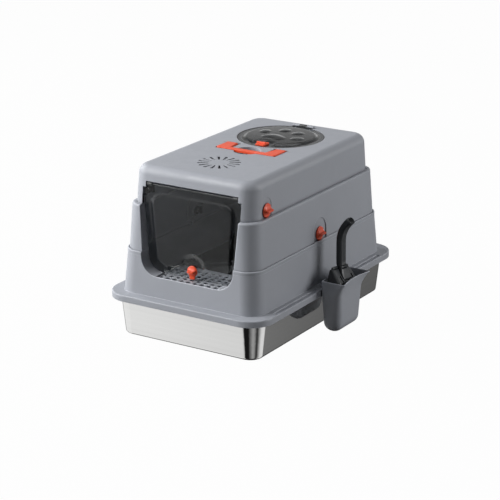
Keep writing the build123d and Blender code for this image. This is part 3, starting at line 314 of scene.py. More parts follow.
# steps: radius and half width of the blend in mm, colour beyond it
# the last step darkens the lid's outer edge: painted shade of the gap round the lid
lidLook = {"colour": linear(132, 135, 137), "grainScale": 220.0, "roughness": (0.05, 0.10),
           "ring": {"centreY": 108.15, "steps": [(86.0, 1.0, linear(240, 242, 243)),
                                                 (94.6, 0.5, linear(70, 73, 75))]}}
frostLook = {"colour": linear(90, 93, 95), "passing": linear(120, 121, 122), "grainScale": 300.0,
             "roughness": (0.42, 0.55)}
steelLook = {"colour": linear(226, 226, 225), "streakShade": 0.94, "lineLength": 9.0,
             "linePitch": 1500.0, "lineDepth": 0.05 * mm, "edgeRadius": 0.3 * mm,
             "roughness": (0.035, 0.08), "bump": 0.03}
pinLook = dict(steelLook, colour=linear(150, 150, 148), lineLength=500.0, edgeRadius=0.2 * mm,
               roughness=(0.34, 0.48), bump=0.1)
foamLook = {"colour": linear(26, 26, 27), "crestShade": 2.6, "crestRange": (0.1, 0.7),
            "cellScale": 700.0, "cellDepth": 0.8 * mm, "bump": 0.8, "roughness": 0.95}

materials = {
    "shell": mouldedPlastic("greyMouldedShell", shellLook),
    "shell_light": mouldedPlastic("greyMouldedInner", innerLook),
    "orange": mouldedPlastic("orangeMoulded", orangeLook),
    "black": mouldedPlastic("blackMoulded", blackLook),
    "smoked_clear": smokedPlastic("smokedDoorSheet", doorLook),
    "smoked": smokedPlastic("smokedLidSheet", lidLook),
    "frosted": smokedPlastic("smokedFrosted", frostLook),
    "steel": steelSheet("drawnSteel", steelLook),
    "pin_steel": steelSheet("turnedSteel", pinLook),
    "carbon": carbonFoam("carbonFoam", foamLook),
}
ownMaterials = {"top_cover": mouldedPlastic("greyMouldedCover", coverLook)}
for entry in frame["record"]["subparts"]:
    node = nodes[entry["node"]]
    node.data.materials.clear()
    node.data.materials.append(ownMaterials.get(entry["node"], materials[entry["material_slot"]]))
print("materials:", len(materials))


# surfaces worked out as whole arrays

def newObject(name, data):
    thing = bpy.data.objects.new(name, data)
    bpy.context.scene.collection.objects.link(thing)
    return thing


def gridFaces(rows, columns, closed=False):
    # quads between neighbours in a grid of points; a closed grid joins its last column to its first
    row, column = np.meshgrid(np.arange(rows - 1), np.arange(columns if closed else columns - 1),
                              indexing="ij")
    ahead = (column + 1) % columns
    corners = [row * columns + column, row * columns + ahead,
               (row + 1) * columns + ahead, (row + 1) * columns + column]
    return np.stack([c.ravel() for c in corners], axis=1)


def surfacePiece(name, grids, body, slot, keep=None, facing=None, finish=None):
    # grids: list of (points in mm, of shape rows x columns x 3, whether closed); an open sheet also
    # says which way its outer side faces
    points = np.concatenate([grid.reshape(-1, 3) for grid, _ in grids]) * mm
    starts = np.cumsum([0] + [grid.shape[0] * grid.shape[1] for grid, _ in grids])
    faces = np.concatenate([gridFaces(*grid.shape[:2], closed) + start
                            for (grid, closed), start in zip(grids, starts)])
    if keep is not None:
        faces = faces[keep]
    mesh = bpy.data.meshes.new(name)
    mesh.vertices.add(len(points))
    mesh.vertices.foreach_set("co", points.ravel())
    mesh.loops.add(faces.size)
    mesh.loops.foreach_set("vertex_index", faces.ravel())
    mesh.polygons.add(len(faces))
    mesh.polygons.foreach_set("loop_start", np.arange(0, faces.size, 4))
    mesh.update(calc_edges=True)
    shape = bmesh.new()
    shape.from_mesh(mesh)
    bmesh.ops.remove_doubles(shape, verts=shape.verts, dist=0.01 * mm)
    bmesh.ops.dissolve_degenerate(shape, edges=shape.edges, dist=0.005 * mm)
    loose = [v for v in shape.verts if not v.link_faces]
    bmesh.ops.delete(shape, geom=loose, context="VERTS")
    bmesh.ops.recalc_face_normals(shape, faces=shape.faces)
    if facing is not None:
        towards = sum(f.normal.dot(Vector(facing)) * f.calc_area() for f in shape.faces)
        if towards < 0:
            bmesh.ops.reverse_faces(shape, faces=shape.faces)
    shape.to_mesh(mesh)
    shape.free()
    mesh.shade_smooth()
    piece = newObject(name, mesh)
    mesh.materials.append(materials[finish or slot])
    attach(piece, body)
    return piece


def addBevel(piece, width, segments=2, angle=50):
    bevel = piece.modifiers.new("bevel", "BEVEL")
    bevel.width = width * mm
    bevel.segments = segments
    bevel.limit_method = "ANGLE"
    bevel.angle_limit = math.radians(angle)


def addWall(piece, thickness):
    # thickness grows inwards from the sheet
    wall = piece.modifiers.new("wall", "SOLIDIFY")
    wall.thickness = thickness * mm
    wall.offset = -1.0


def circle(count):
    return np.linspace(0, 2 * math.pi, count, endpoint=False)


def turned(x, y, angle):
    c, s = math.cos(angle), math.sin(angle)
    return x * c - y * s, x * s + y * c


def smoothStep(low, high, value):
    t = np.clip((value - low) / (high - low), 0.0, 1.0)
    return t * t * (3 - 2 * t)


def softMin(first, second, width):
    # smooth minimum: where the two are within width of each other they blend with a parabola
    h = np.clip(0.5 + 0.5 * (second - first) / width, 0.0, 1.0)
    return second * (1 - h) + first * h - width * h * (1 - h)


# door: a pressed sheet, y = face - relief(x, z), its outline following the opening

doorShape = {"faceY": -245.19, "thickness": 2.5, "footHalf": 112.0, "headHalf": 119.5,
             "neckHalf": 112.7, "footZ": 145.0, "leanFrom": 190.6, "leanTo": 290.7,
             "shoulderZ": 324.5, "topZ": 335.0, "corner": 37.5, "fieldInset": 14.5,
             "fieldFoot": 154.0, "fieldTop": 322.0, "fieldCorner": 29.0, "relief": 1.8,
             "reliefWidth": 9.0, "archHalf": 24.0, "archTop": 190.0, "archBlend": 16.0,
             "rows": (14, 78, 5), "columns": 121}
railShape = {"axisY": doorShape["faceY"] + 1.25, "axisZ": 335.0, "end": 112.7, "long": 16.0,
             "swellFrom": 98.2, "swellTo": 101.2, "barrel": 4.4, "thin": 1.7, "hole": 2.0,
             "drilled": 12.0, "chamfer": 0.5}


def doorSide(z, inset=0.0):
    # half width at a height: upright, then leaning out, then upright again
    d = doorShape
    lean = np.clip((z - d["leanFrom"]) / (d["leanTo"] - d["leanFrom"]), 0, 1)
    return d["footHalf"] + (d["headHalf"] - d["footHalf"]) * lean - inset


def doorHalfWidth(z):
    # the side line, drawn in along a quarter circle at the foot
    d = doorShape
    above = np.clip(z - d["footZ"], 0, d["corner"])
    inward = d["corner"] - np.sqrt(np.maximum(d["corner"] ** 2 - (d["corner"] - above) ** 2, 0))
    return doorSide(z) - inward


def doorRelief(x, z):
    # height of the pressed field: smooth step on the distance inside a rounded box, whose foot is
    # pushed up by a round arch over the latch
    d = doorShape
    centreZ = (d["fieldFoot"] + d["fieldTop"]) / 2
    halfZ = (d["fieldTop"] - d["fieldFoot"]) / 2
    r = d["fieldCorner"]
    qx = np.abs(x) - (doorSide(z, d["fieldInset"]) - r)
    qz = np.abs(z - centreZ) - (halfZ - r)
    outside = np.hypot(np.maximum(qx, 0), np.maximum(qz, 0))
    inside = r - outside - np.minimum(np.maximum(qx, qz), 0)
    archZ = d["archTop"] - d["archHalf"]
    arch = np.hypot(x, np.maximum(z - archZ, 0)) - d["archHalf"]
    distance = softMin(inside, arch, d["archBlend"])
    return d["relief"] * smoothStep(0, d["reliefWidth"], distance)


def buildDoor():
    d = doorShape
    foot, side, head = d["rows"]
    corner = d["footZ"] + d["corner"] * (1 - np.cos(np.linspace(0, math.pi / 2, foot)))
    middle = np.linspace(corner[-1], d["shoulderZ"], side)[1:]
    neck = np.linspace(d["shoulderZ"], d["topZ"], head)
    z = np.concatenate([corner, middle, neck])
    half = doorHalfWidth(z)
    half[-len(neck):] = d["neckHalf"]
    # columns a little closer together near the sides
    t = np.linspace(-1, 1, d["columns"])
    x = half[:, None] * (0.25 * np.sin(t * math.pi / 2) + 0.75 * t)[None, :]
    zz = np.repeat(z[:, None], len(t), axis=1)
    face = d["faceY"] - doorRelief(x, zz)
    front = np.stack([x, face, zz], axis=2)
    back = np.stack([x, face + d["thickness"], zz], axis=2)
    edges = [(front[:, 0], back[:, 0]), (front[:, -1], back[:, -1]), (front[0], back[0]),
             (front[-1], back[-1])]
    grids = [(front, False), (back, False)] + [(np.stack(edge, 1), False) for edge in edges]
    panel = surfacePiece("door_sheet", grids, "door", "smoked_clear")
    addBevel(panel, 0.5)
    return panel


def buildDoorRail():
    # hinge rail: a thin bar that swells into a barrel at each end, with drilled ends; rows of
    # (distance along X, radius) turned about the rail's axis
    r = railShape
    end, deep = r["end"], r["end"] - r["drilled"]
    barrel = np.linspace(end - r["long"], end, 20)
    x = np.concatenate([-barrel[::-1], barrel])
    swell = smoothStep(r["swellFrom"], r["swellTo"], np.abs(x))
    radius = r["thin"] + (r["barrel"] - r["thin"]) * swell
    hole = np.array([[-deep, 0.0], [-deep, r["hole"]], [-end, r["hole"]],
                     [-end, r["barrel"] - r["chamfer"]]])
    profile = np.concatenate([hole, np.stack([x, radius], 1)[1:-1], (hole * [-1, 1])[::-1]])
    turn = circle(32)[None, :]
    along, away = profile[:, :1], profile[:, 1:]
    grid = np.stack([np.repeat(along, turn.size, axis=1), r["axisY"] + away * np.cos(turn),
                     r["axisZ"] + away * np.sin(turn)], axis=2)
    return surfacePiece("door_rail", [(grid, True)], "door", "smoked_clear", finish="frosted")


doorSheet = buildDoor()
buildDoorRail()
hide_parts("entry_door")
print("door built")


# skylight lid: polar sheet, z = seat + sheet + dome, with a scallop for the slide and a raised paw

lidShape = {"centreY": 108.15, "rings": [(0, 78, 66), (79, 86, 12), (88, 96.6, 7)], "seatZ": 369.2,
            "sheet": 2.6, "thinner": 0.2, "domeRadius": 84.0, "domeFlat": 74.0, "domeHeight": 4.0,
            "crown": 1.2, "scallopY": 26.65, "scallop": 20.0, "scallopBlend": 14.0,
            "pawTilt": -12.0, "pawForward": 13.0, "pawRelief": 3.0, "toeRing": 49.0,
            "toeAngles": (-77, -23, 23, 77), "toeHalf": (13.0, 15.5), "toeSwell": 12.0,
            "padHalf": (30.0, 22.0), "padBack": 14.0, "padSwell": 14.0, "notchHalf": (14.0, 10.0),
            "notchBack": 33.0, "notchBlend": 6.0}
hingeShape = {"y": 208.65, "z": 374.0, "radius": 3.5, "turn": (-50, 218), "armY": 203.2,
              "floor": 369.5, "top": 371.8, "half": 9.0}


def ellipseInside(x, y, a, b):
    # about the distance inside an ellipse, in mm
    r = np.hypot(x / a, y / b)
    return (1 - r) * min(a, b)


def pillow(inside, width):
    # a cap that starts at its full slope at the outline and levels out: 1 - (1 - t)^2
    t = np.clip(inside / width, 0.0, 1.0)
    return 1 - (1 - t) ** 2


def pawRelief(x, y):
    # union of four toes and a pad, each swelling like a pillow from its outline
    d = lidShape
    u, v = turned(x, y - (d["centreY"] - d["pawForward"]), -math.radians(d["pawTilt"]))
    total = np.zeros_like(x)
    for turn in np.radians(d["toeAngles"]):
        toe = turned(u - d["toeRing"] * math.sin(turn), v - d["toeRing"] * math.cos(turn), turn / 2)
        total = np.maximum(total, pillow(ellipseInside(*toe, *d["toeHalf"]), d["toeSwell"]))
    pad = ellipseInside(u, v + d["padBack"], *d["padHalf"])
    notch = -ellipseInside(u, v + d["notchBack"], *d["notchHalf"])
    total = np.maximum(total, pillow(softMin(pad, notch, d["notchBlend"]), d["padSwell"]))
    return d["pawRelief"] * total


def lidHeight(x, y):
    # a flat-topped dome, a slight parabolic crown and the paw, all brought down to nothing by
    # smooth steps at the rim and round the slide
    d = lidShape
    r = np.hypot(x, y - d["centreY"])
    dome = smoothStep(0, d["domeRadius"] - d["domeFlat"], d["domeRadius"] - r)
    scallop = smoothStep(0, d["scallopBlend"], np.hypot(x, y - d["scallopY"]) - d["scallop"])
    crown = d["crown"] * np.maximum(1 - (r / d["domeRadius"]) ** 2, 0)
    return (d["domeHeight"] + crown + pawRelief(x, y)) * dome * scallop


def buildLid():
    d = lidShape
    radii = np.concatenate([np.linspace(*run) for run in d["rings"]])
    angle = circle(180)
    x = radii[:, None] * np.cos(angle)[None, :]
    y = radii[:, None] * np.sin(angle)[None, :] + d["centreY"]
    lift = lidHeight(x, y)
    top = np.stack([x, y, d["seatZ"] + d["sheet"] + lift], 2)
    under = np.stack([x, y, d["seatZ"] + np.maximum(lift - d["thinner"], 0)], 2)
    grids = [(top, True), (under, True), (np.stack([top[-1], under[-1]]), True)]
    sheet = surfacePiece("skylight_sheet", grids, "skylight", "smoked")
    addBevel(sheet, 0.6)
    return sheet


def straightBar(outline, low, high, axis):
    # closed outline carried from low to high along an axis, 0 for X or 1 for Y, with flat ends
    ends = [np.insert(outline, axis, at, axis=1) for at in (low, high)]
    first, last = (np.repeat(end.mean(axis=0)[None, :], len(outline), axis=0) for end in ends)
    return np.stack([first, *ends, last])


def buildLidHinge():
    # knuckle and arm: one outline in Y and Z carried along X
    h = hingeShape
    turn = np.linspace(*np.radians(h["turn"]), 28)
    knuckle = np.stack([h["y"] + h["radius"] * np.cos(turn),
                        h["z"] + h["radius"] * np.sin(turn)], 1)
    arm = [[h["armY"], h["top"]], [h["armY"], h["floor"]], [h["y"], h["floor"]]]
    grid = straightBar(np.concatenate([knuckle, arm]), -h["half"], h["half"], 0)
    piece = surfacePiece("skylight_knuckle", [(grid, True)], "skylight", "smoked", finish="frosted")
    addBevel(piece, 0.4)


lidSheet = buildLid()
buildLidHinge()
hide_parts("skylight_lid")
print("skylight built")


# turning knobs: a shaft, a disc and a flat finger grip

sideKnob = {"disc": 15.0, "edge": 3.0, "grip": 8.4, "tipLong": 10.5, "tipWide": 2.6, "shaft": 4.2,
            "shaftRadius": 4.0, "square": 2.5}
latchKnob = {"disc": 12.0, "edge": 3.5, "grip": 8.4, "tipLong": 7.6, "tipWide": 2.2, "shaft": 4.7,
             "shaftRadius": 3.0, "square": 2.9}
# how quickly the grip gets shorter and thinner, and how square its sections and the shaft's end are
knobForm = {"rings": 22, "turns": 96, "shorten": 1.5, "narrow": 4.2, "squarer": 2.6,
            "endLong": 2.0, "endSquare": 8}
lockPlaces = {"upper": (148.75, -196.15, 306.0), "middle": (159.7, 4.0, 204.5)}
tongueShape = {"z": 161.5, "half": 6.5, "corner": 3.2, "below": 17.5, "thick": 3.5}
knobGap = 0.3
# a section that closes to a point keeps this much, so that its radius can be worked out
tiny = 0.001


def knobProfile(look):
    # rows of height, half length, half width and the section's power (2 is round), from the
    # shaft's inner end to the tip of the grip, which narrows by a power of the way that is left
    inner, edge, disc = -look["shaft"], look["edge"], look["disc"]
    end, square = inner - knobForm["endLong"], knobForm["endSquare"]
    even = [(end, tiny, 2), (end, look["square"], square), (inner, look["square"], square),
            (inner, look["shaftRadius"], 2), (0, look["shaftRadius"], 2), (0, disc - 0.5, 2),
            (0.5, disc, 2), (edge - 0.7, disc, 2), (edge - 0.2, disc - 0.3, 2),
            (edge, disc - 1.0, 2)]
    rows = [(height, half, half, power) for height, half, power in even]
    steps = np.linspace(0, 1, knobForm["rings"])[1:]
    long = look["tipLong"] + (disc - 1.0 - look["tipLong"]) * (1 - steps) ** knobForm["shorten"]
    wide = look["tipWide"] + (disc - 1.0 - look["tipWide"]) * (1 - steps) ** knobForm["narrow"]
    power = 2 + knobForm["squarer"] * smoothStep(0.05, 0.5, steps)
    rows += list(zip(edge + look["grip"] * steps, long, wide, power))
    top = edge + look["grip"]
    rows += [(top + 0.5, look["tipLong"] - 0.35, look["tipWide"] - 0.35, 4.6),
             (top + 0.75, look["tipLong"] - 0.9, look["tipWide"] - 0.9, 4.4),
             (top + 0.8, tiny, tiny, 2)]
    return np.array(rows)


def knobPoints(look):
    # local frame: third axis along the shaft outwards, first along the grip; each section is a
    # superellipse, (|cos| / a)^n + (|sin| / b)^n = 1 / r^n
    height, a, b, n = (column[:, None] for column in knobProfile(look).T)
    angle = circle(knobForm["turns"])[None, :]
    c, s = np.cos(angle), np.sin(angle)
    radius = ((np.abs(c) / a) ** n + (np.abs(s) / b) ** n) ** (-1 / n)
    return radius * c, radius * s, np.repeat(height, angle.size, axis=1)


def buildSideKnobs():
    along, across, out = knobPoints(sideKnob)
    for level, (x, y, z) in lockPlaces.items():
        for side, sign in (("right", 1), ("left", -1)):
            points = np.stack([sign * (x + knobGap + out), y + along, z + across], 2)
            knob = surfacePiece(f"{level}_{side}_grip", [(points, True)], f"{level}_lock_{side}",
                                "orange")
            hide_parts(f"{level}_knob_{side}")


def buildLatchKnob():
    # the door's knob, with a rounded tongue below its disc: outline carried through the thickness
    k = tongueShape
    faceY = doorShape["faceY"] - knobGap
    along, across, out = knobPoints(latchKnob)
    points = np.stack([along, faceY - out, k["z"] + across], 2)
    knob = surfacePiece("latch_grip", [(points, True)], "door_latch", "orange")
    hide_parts("door_latch_knob")
    turn = np.linspace(0, math.pi / 2, 7)
    left = np.stack([-k["half"] + k["corner"] * (1 - np.cos(turn)),
                     k["z"] - k["below"] + k["corner"] * (1 - np.sin(turn))], 1)
    head = [[k["half"], k["z"]], [-k["half"], k["z"]]]
    outline = np.concatenate([left, (left * [-1, 1])[::-1], head])
    grid = straightBar(outline, faceY - k["thick"], faceY, 1)
    tongue = surfacePiece("latch_tongue", [(grid, True)], "door_latch", "orange")
    addBevel(tongue, 0.7, 3, 40)


buildSideKnobs()
buildLatchKnob()
print("knobs built")


# scoop holder: rounded sections from the middle of the floor up to a flared rim

holderShape = {"back": 198.2, "bottomZ": 4.0, "shoulderZ": 96.0, "rimZ": 118.5, "flareFrom": 86.0,
               "flarePower": 1.8, "round": 19.0, "wall": 2.0, "dent": 10.0, "dentFrom": 210.2}
# outer side, both ends across, and the corner radii at the outer side and at the back
holderLevels = {"foot": (240.2, -48.5, 51.0, 19.5, 19.5),
                "shoulder": (243.2, -51.5, 54.0, 13.0, 4.0),
                "mouth": (256.7, -51.5, 63.0, 6.0, 4.0)}
hookShape = {"ends": (-29.75, 32.25),
             "outline": [(200.2, 97.2), (187.4, 97.2), (187.4, 96.1), (184.9, 96.1), (184.9, 98.9),
                         (185.7, 99.7), (200.2, 99.7)]}


def roundedSection(x0, x1, y0, y1, outer, inner, count=12, side=12):
    # closed loop of a rectangle with one corner radius at x1 and another at x0: count points on
    # each corner, side steps on each side
    corners = [(x1, y0, -90, outer), (x1, y1, 0, outer), (x0, y1, 90, inner), (x0, y0, 180, inner)]
    loops = []
    for x, y, start, corner in corners:
        cx = x - corner if x == x1 else x + corner
        cy = y - corner if y == y1 else y + corner
        turn = np.radians(np.linspace(start, start + 90, count))
        loops.append(np.stack([cx + corner * np.cos(turn), cy + corner * np.sin(turn)], 1))
    points = np.concatenate(loops)
    ahead = np.roll(points, -1, axis=0)
    share = np.linspace(0, 1, side, endpoint=False)[None, :, None]
    dense = points[:, None, :] + (ahead - points)[:, None, :] * share
    straight = np.arange(len(points)) % count == count - 1
    keep = (np.arange(side)[None, :] == 0) | straight[:, None]
    return dense[keep]


def holderLoop(z):
    # the pocket's outline at a level: straight from foot to shoulder, then a flare that gathers
    # speed, its outer side drawn in between the corners
    h = holderShape
    foot, shoulder, mouth = (np.array(holderLevels[k]) for k in ("foot", "shoulder", "mouth"))
    up = (z - h["bottomZ"]) / (h["shoulderZ"] - h["bottomZ"])
    flare = max((z - h["flareFrom"]) / (h["rimZ"] - h["flareFrom"]), 0) ** h["flarePower"]
    x1, y0, y1, outer, inner = foot + (shoulder - foot) * min(up, 1) + (mouth - shoulder) * flare
    loop = roundedSection(h["back"], x1, y0, y1, outer, inner)
    along = np.clip((loop[:, 1] - (y0 + y1) / 2) * 2 / (y1 - y0), -1, 1)
    outside = smoothStep(h["dentFrom"], x1, loop[:, 0])
    loop[:, 0] -= h["dent"] * flare * (1 - along ** 2) * outside
    return loop


def shrink(loop, amount):
    # each point moved inwards along the loop's own normal
    ahead = np.roll(loop, -1, axis=0) - np.roll(loop, 1, axis=0)
    normal = np.stack([ahead[:, 1], -ahead[:, 0]], 1)
    normal /= np.hypot(normal[:, 0], normal[:, 1])[:, None]
    return loop - normal * amount


def buildHolder():
    # a flat floor, a quarter circle up from it, then the walls
    h = holderShape
    bottom = holderLoop(h["bottomZ"])
    middle = (bottom.max(axis=0) + bottom.min(axis=0)) / 2
    flat = shrink(bottom, h["round"])
    levels = [(h["bottomZ"], middle + (flat - middle) * share) for share in (0.0, 0.35, 0.7)]
    for turn in np.linspace(0, math.pi / 2, 12):
        z = h["bottomZ"] + h["round"] * (1 - math.cos(turn))
        levels.append((z, shrink(holderLoop(z), h["round"] * (1 - math.sin(turn)))))
    for z in np.linspace(h["bottomZ"] + h["round"], h["rimZ"], 44)[1:]:
        levels.append((z, holderLoop(z)))
    rows = np.stack([np.insert(loop, 2, z, axis=1) for z, loop in levels])
    pocket = surfacePiece("holder_pocket", [(rows, True)], "holder", "shell", facing=(0, 0, -1))
    addWall(pocket, h["wall"])
    addBevel(pocket, 0.6)
    return pocket


def buildHolderHook():
    # hook outline in X and Z carried along Y
    grid = straightBar(np.array(hookShape["outline"]), *hookShape["ends"], 1)
    hook = surfacePiece("holder_hook", [(grid, True)], "holder", "shell")
    addBevel(hook, 0.4, 2, 40)


holderPocket = buildHolder()
buildHolderHook()
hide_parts("scoop_holder")
print("scoop holder built")


# scoop: a slotted sheet folded back into a hood, its sides curled towards the flange, and a strap
# carried along a bent path; built upright, then leant to the rear

scoopShape = {"backX": 205.7, "footY": -10.0, "footZ": 13.34, "lean": 8.0, "footHalf": 24.0,
              "shoulderHalf": 43.0, "topHalf": 36.0, "height": 122.0, "shoulderZ": 94.0,
              "footDepth": 12.0, "shoulderDepth": 33.0, "topDepth": 9.0, "sheet": 2.2, "slots": 5,
              "slotPitch": 12.0, "slotWidth": 5.0, "slotFrom": 24.0, "slotTo": 110.0, "rim": 0.4,
              "ridgeRound": 11.0, "curl": 7.0, "curlFrom": -20.0, "curlTo": 60.0}
barShape = {"half": (3.1, 3.6), "out": 4.2, "over": 1.6, "short": 0.5, "blunt": 14}
# endRings: share of the section's size and how far back it lies, for the blunt hollow end
gripShape = {"width": 23.0, "thick": 16.0, "inset": 1.0, "bendZ": 180.0, "radius": 56.0,
             "angle": 51.0, "tilt": 5.0, "rootHalf": 17.5, "rootThick": 5.0,
             "rootFoot": (27.0, 101.0), "rootOver": 6.0, "rootRound": 30.0, "rootFade": (6, 36),
             "channel": 1.8, "channelFade": (24, 50), "channelEdge": (0.4, 0.75),
             "rib": 0.8, "ribEdge": (0.06, 0.2), "endSize": 0.93,
             "endRings": ((0.88, -0.6), (0.8, 0.4), (0.76, 8.4), (0.0, 8.4))}


def leant(points):
    # local out, across and up turned about the foot line and set down in the pocket
    s = scoopShape
    y, z = turned(points[..., 1], points[..., 2], -math.radians(s["lean"]))
    return np.stack([s["backX"] + points[..., 0], s["footY"] + y, s["footZ"] + z], -1)


def lengthAlong(path):
    return np.concatenate([[0], np.cumsum(np.hypot(*np.diff(path, axis=0).T))])


def foldedPath(points, radii, step=2.0, turns=9):
    # polyline with its corners replaced by arcs that touch both runs
    points = np.array(points, float)
    out = [points[:1]]
    for before, corner, after, radius in zip(points[:-2], points[1:-1], points[2:], radii):
        a = (before - corner) / np.linalg.norm(before - corner)
        b = (after - corner) / np.linalg.norm(after - corner)
        half = math.acos(np.clip(a @ b, -1, 1)) / 2
        start = corner + a * radius / math.tan(half)
        centre = corner + (a + b) / np.linalg.norm(a + b) * radius / math.sin(half)
        first = start - centre
        second = np.array([-first[1], first[0]])
        sweep = (math.pi - 2 * half) * np.sign(second @ (corner - start))
        t = np.linspace(0, sweep, turns)[:, None]
        out.append(centre + first * np.cos(t) + second * np.sin(t))
    out.append(points[-1:])
    corners = np.concatenate(out)
    length = lengthAlong(corners)
    even = np.union1d(np.linspace(0, length[-1], int(length[-1] / step)), length)
    return np.stack([np.interp(even, length, corners[:, k]) for k in (0, 1)], 1)


def buildBowl():
    # rows follow the fold from the foot up to the ridge and back over the hood; across a row the
    # sheet is flat, then turns a quarter circle, then runs straight back
    s = scoopShape
    path = foldedPath([(s["footDepth"], 0), (s["shoulderDepth"], s["shoulderZ"]),
                       (s["topDepth"], s["height"])], [s["ridgeRound"]])
    depth, up = path[:, :1], path[:, 1:]
    half = np.interp(up, [0, s["shoulderZ"], s["height"]],
                     [s["footHalf"], s["shoulderHalf"], s["topHalf"]])
    bend = np.minimum(s["curl"] * smoothStep(s["curlFrom"], s["curlTo"], up), depth * 0.7)
    # four columns to a slot: its sides, its middle, and the middle of the bar beyond it
    middles = s["slotPitch"] * (np.arange(s["slots"]) - (s["slots"] - 1) / 2)
    stops = np.array([-s["slotWidth"] / 2, 0, s["slotWidth"] / 2, s["slotPitch"] / 2])
    flat = (middles[:, None] + stops[None, :]).ravel()[:-1]
    inner = flat[None, :] * np.minimum((half - bend - s["rim"]) / flat[-1], 1)
    turn = np.radians(np.linspace(0, 90, 9))[None, :]
    sideAcross = half - bend + bend * np.sin(turn)
    sideOut = depth - bend * (1 - np.cos(turn))
    back = np.linspace(0, 1, 7)[None, 1:]
    wallAcross = np.repeat(half, back.shape[1], axis=1)
    wallOut = (depth - bend) * (1 - back)
    across = np.concatenate([-wallAcross, -sideAcross[:, ::-1], inner, sideAcross, wallAcross], 1)
    out = np.concatenate([wallOut[:, ::-1], sideOut[:, ::-1],
                          np.repeat(depth, inner.shape[1], axis=1), sideOut, wallOut], 1)
    points = leant(np.stack([out, across, np.repeat(up, across.shape[1], axis=1)], -1))
    middleUp = (up[:-1] + up[1:]) / 2
    column = np.arange(across.shape[1] - 1) - back.shape[1] - turn.shape[1]
    nearSlot = (column >= 0) & (column < inner.shape[1] - 1) & (column % 4 < 2)
    isOpen = nearSlot[None, :] & (middleUp > s["slotFrom"]) & (middleUp < s["slotTo"])
    bowl = surfacePiece("scoop_bowl", [(points, False)], "scoop_body", "black",
                        keep=~isOpen.ravel(), facing=(1, 0, 0.3))
    addWall(bowl, s["sheet"])
    addBevel(bowl, 0.5)
    return bowl


def pillSection(halfLong, halfWide, power=3.2, count=28):
    # closed superellipse (cos and sin to the power 2 / n)
    a, b = np.cos(circle(count)), np.sin(circle(count))
    return np.stack([np.sign(a) * np.abs(a) ** (2 / power) * halfLong,
                     np.sign(b) * np.abs(b) ** (2 / power) * halfWide], 1)


def buildTopBar():
    # raised bar along the hood's upper edge, tapering at its ends
    s, b = scoopShape, barShape
    along = np.linspace(-1, 1, 41)
    size = np.sqrt(np.maximum(1 - np.abs(along) ** b["blunt"], 0.0))[:, None, None]
    section = pillSection(*b["half"])[None, :, :] * np.maximum(size, tiny)
    across = np.repeat(along[:, None] * (s["topHalf"] - b["short"]), section.shape[1], axis=1)
    points = np.stack([b["out"] + section[:, :, 0], across,
                       s["height"] + b["over"] + section[:, :, 1]], -1)
    surfacePiece("scoop_top_bar", [(leant(points), True)], "scoop_body", "black")


def buildStrap():
    # section carried along a centre line, each ring square to it: from the hood up with a slight
    # tilt, then along an arc that leans outwards; flat and wide on the hood, then a rounded bar
    # with a channel outside and a hollow blunt end
    s, g = scoopShape, gripShape
    middle = g["thick"] / 2 - g["inset"]
    rootZ = s["height"] + g["rootOver"]
    tilt = math.radians(g["tilt"])
    t = np.linspace(-tilt, math.radians(g["angle"]), 24)
    inset = middle - (g["bendZ"] - rootZ) * math.tan(tilt)
    arc = np.stack([inset + g["radius"] * (math.cos(tilt) - np.cos(t)),
                    g["bendZ"] + g["radius"] * (np.sin(t) + math.sin(tilt))], 1)
    rise = foldedPath([g["rootFoot"], (middle, rootZ), arc[0]], [g["rootRound"]], 3.0)
    run = np.concatenate([rise, arc[1:]])
    tangent = np.gradient(run, axis=0)
    tangent /= np.hypot(tangent[:, 0], tangent[:, 1])[:, None]
    normal = np.stack([tangent[:, 1], -tangent[:, 0]], 1)
    length = lengthAlong(run)
    flat = 1 - smoothStep(*g["rootFade"], length)
    half = g["width"] / 2 + (g["rootHalf"] - g["width"] / 2) * flat
    deep = g["thick"] / 2 + (g["rootThick"] - g["thick"]) / 2 * flat
    section = pillSection(1.0, 1.0, 3.4, 40)
    # the channel lies on the outer side only and leaves a rib along its middle
    offMiddle = np.abs(section[:, 1])
    hollow = (1 - smoothStep(*g["channelEdge"], offMiddle)) * (section[:, 0] > 0)
    rib = 1 - g["rib"] * (1 - smoothStep(*g["ribEdge"], offMiddle))
    fade = smoothStep(*g["channelFade"], length)
    channel = g["channel"] * (hollow * rib)[None, :] * fade[:, None]
    size = np.ones(len(length))
    size[-1] = g["endSize"]
    lift = section[None, :, 0] * (deep * size)[:, None] - channel
    across = section[None, :, 1] * (half * size)[:, None]
    rings = [(run[0], normal[0], lift[0] * 0, across[0] * 0), *zip(run, normal, lift, across)]
    for share, back in g["endRings"]:
        rings.append((run[-1] - tangent[-1] * back, normal[-1], lift[-1] * share,
                      across[-1] * share))
    points = np.stack([leant(np.stack([at[0] + up * n[0], side, at[1] + up * n[1]], -1))
                       for at, n, up, side in rings])
    surfacePiece("scoop_strap", [(points, True)], "scoop_body", "black")


scoopBowl = buildBowl()
buildTopBar()
buildStrap()
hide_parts("scoop")
print("scoop built")


# carbon pad: a closed pillow, crowned between stitched seams

padShape = {"half": 49.4, "centreY": -142.0, "middleZ": 365.0, "halfThick": 3.0, "cells": 3,
            "tuck": 0.9}


def buildPad():
    # half thickness: root of a product of (1 - |t|^12) for the edges, less a tuck along the seams,
    # where the fourth root of a product of sines is nothing; mirrored below
    p = padShape
    t = np.linspace(-1, 1, 61)
    x, y = np.meshgrid(t * p["half"], p["centreY"] + t * p["half"], indexing="ij")
    edge = 1 - np.abs(t) ** 12
    wave = np.sin(t * p["cells"] * math.pi / 2 + math.pi / 2)
    seam = np.abs(wave[:, None] * wave[None, :]) ** 0.25
    swell = (edge[:, None] * edge[None, :]) ** 0.5 * (p["halfThick"] - p["tuck"] * (1 - seam))
    sheets = [(np.stack([x, y, p["middleZ"] + side * swell], 2), False) for side in (1, -1)]
    pad = surfacePiece("carbon_pad", sheets, "filter", "carbon")
    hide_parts("carbon_filter")


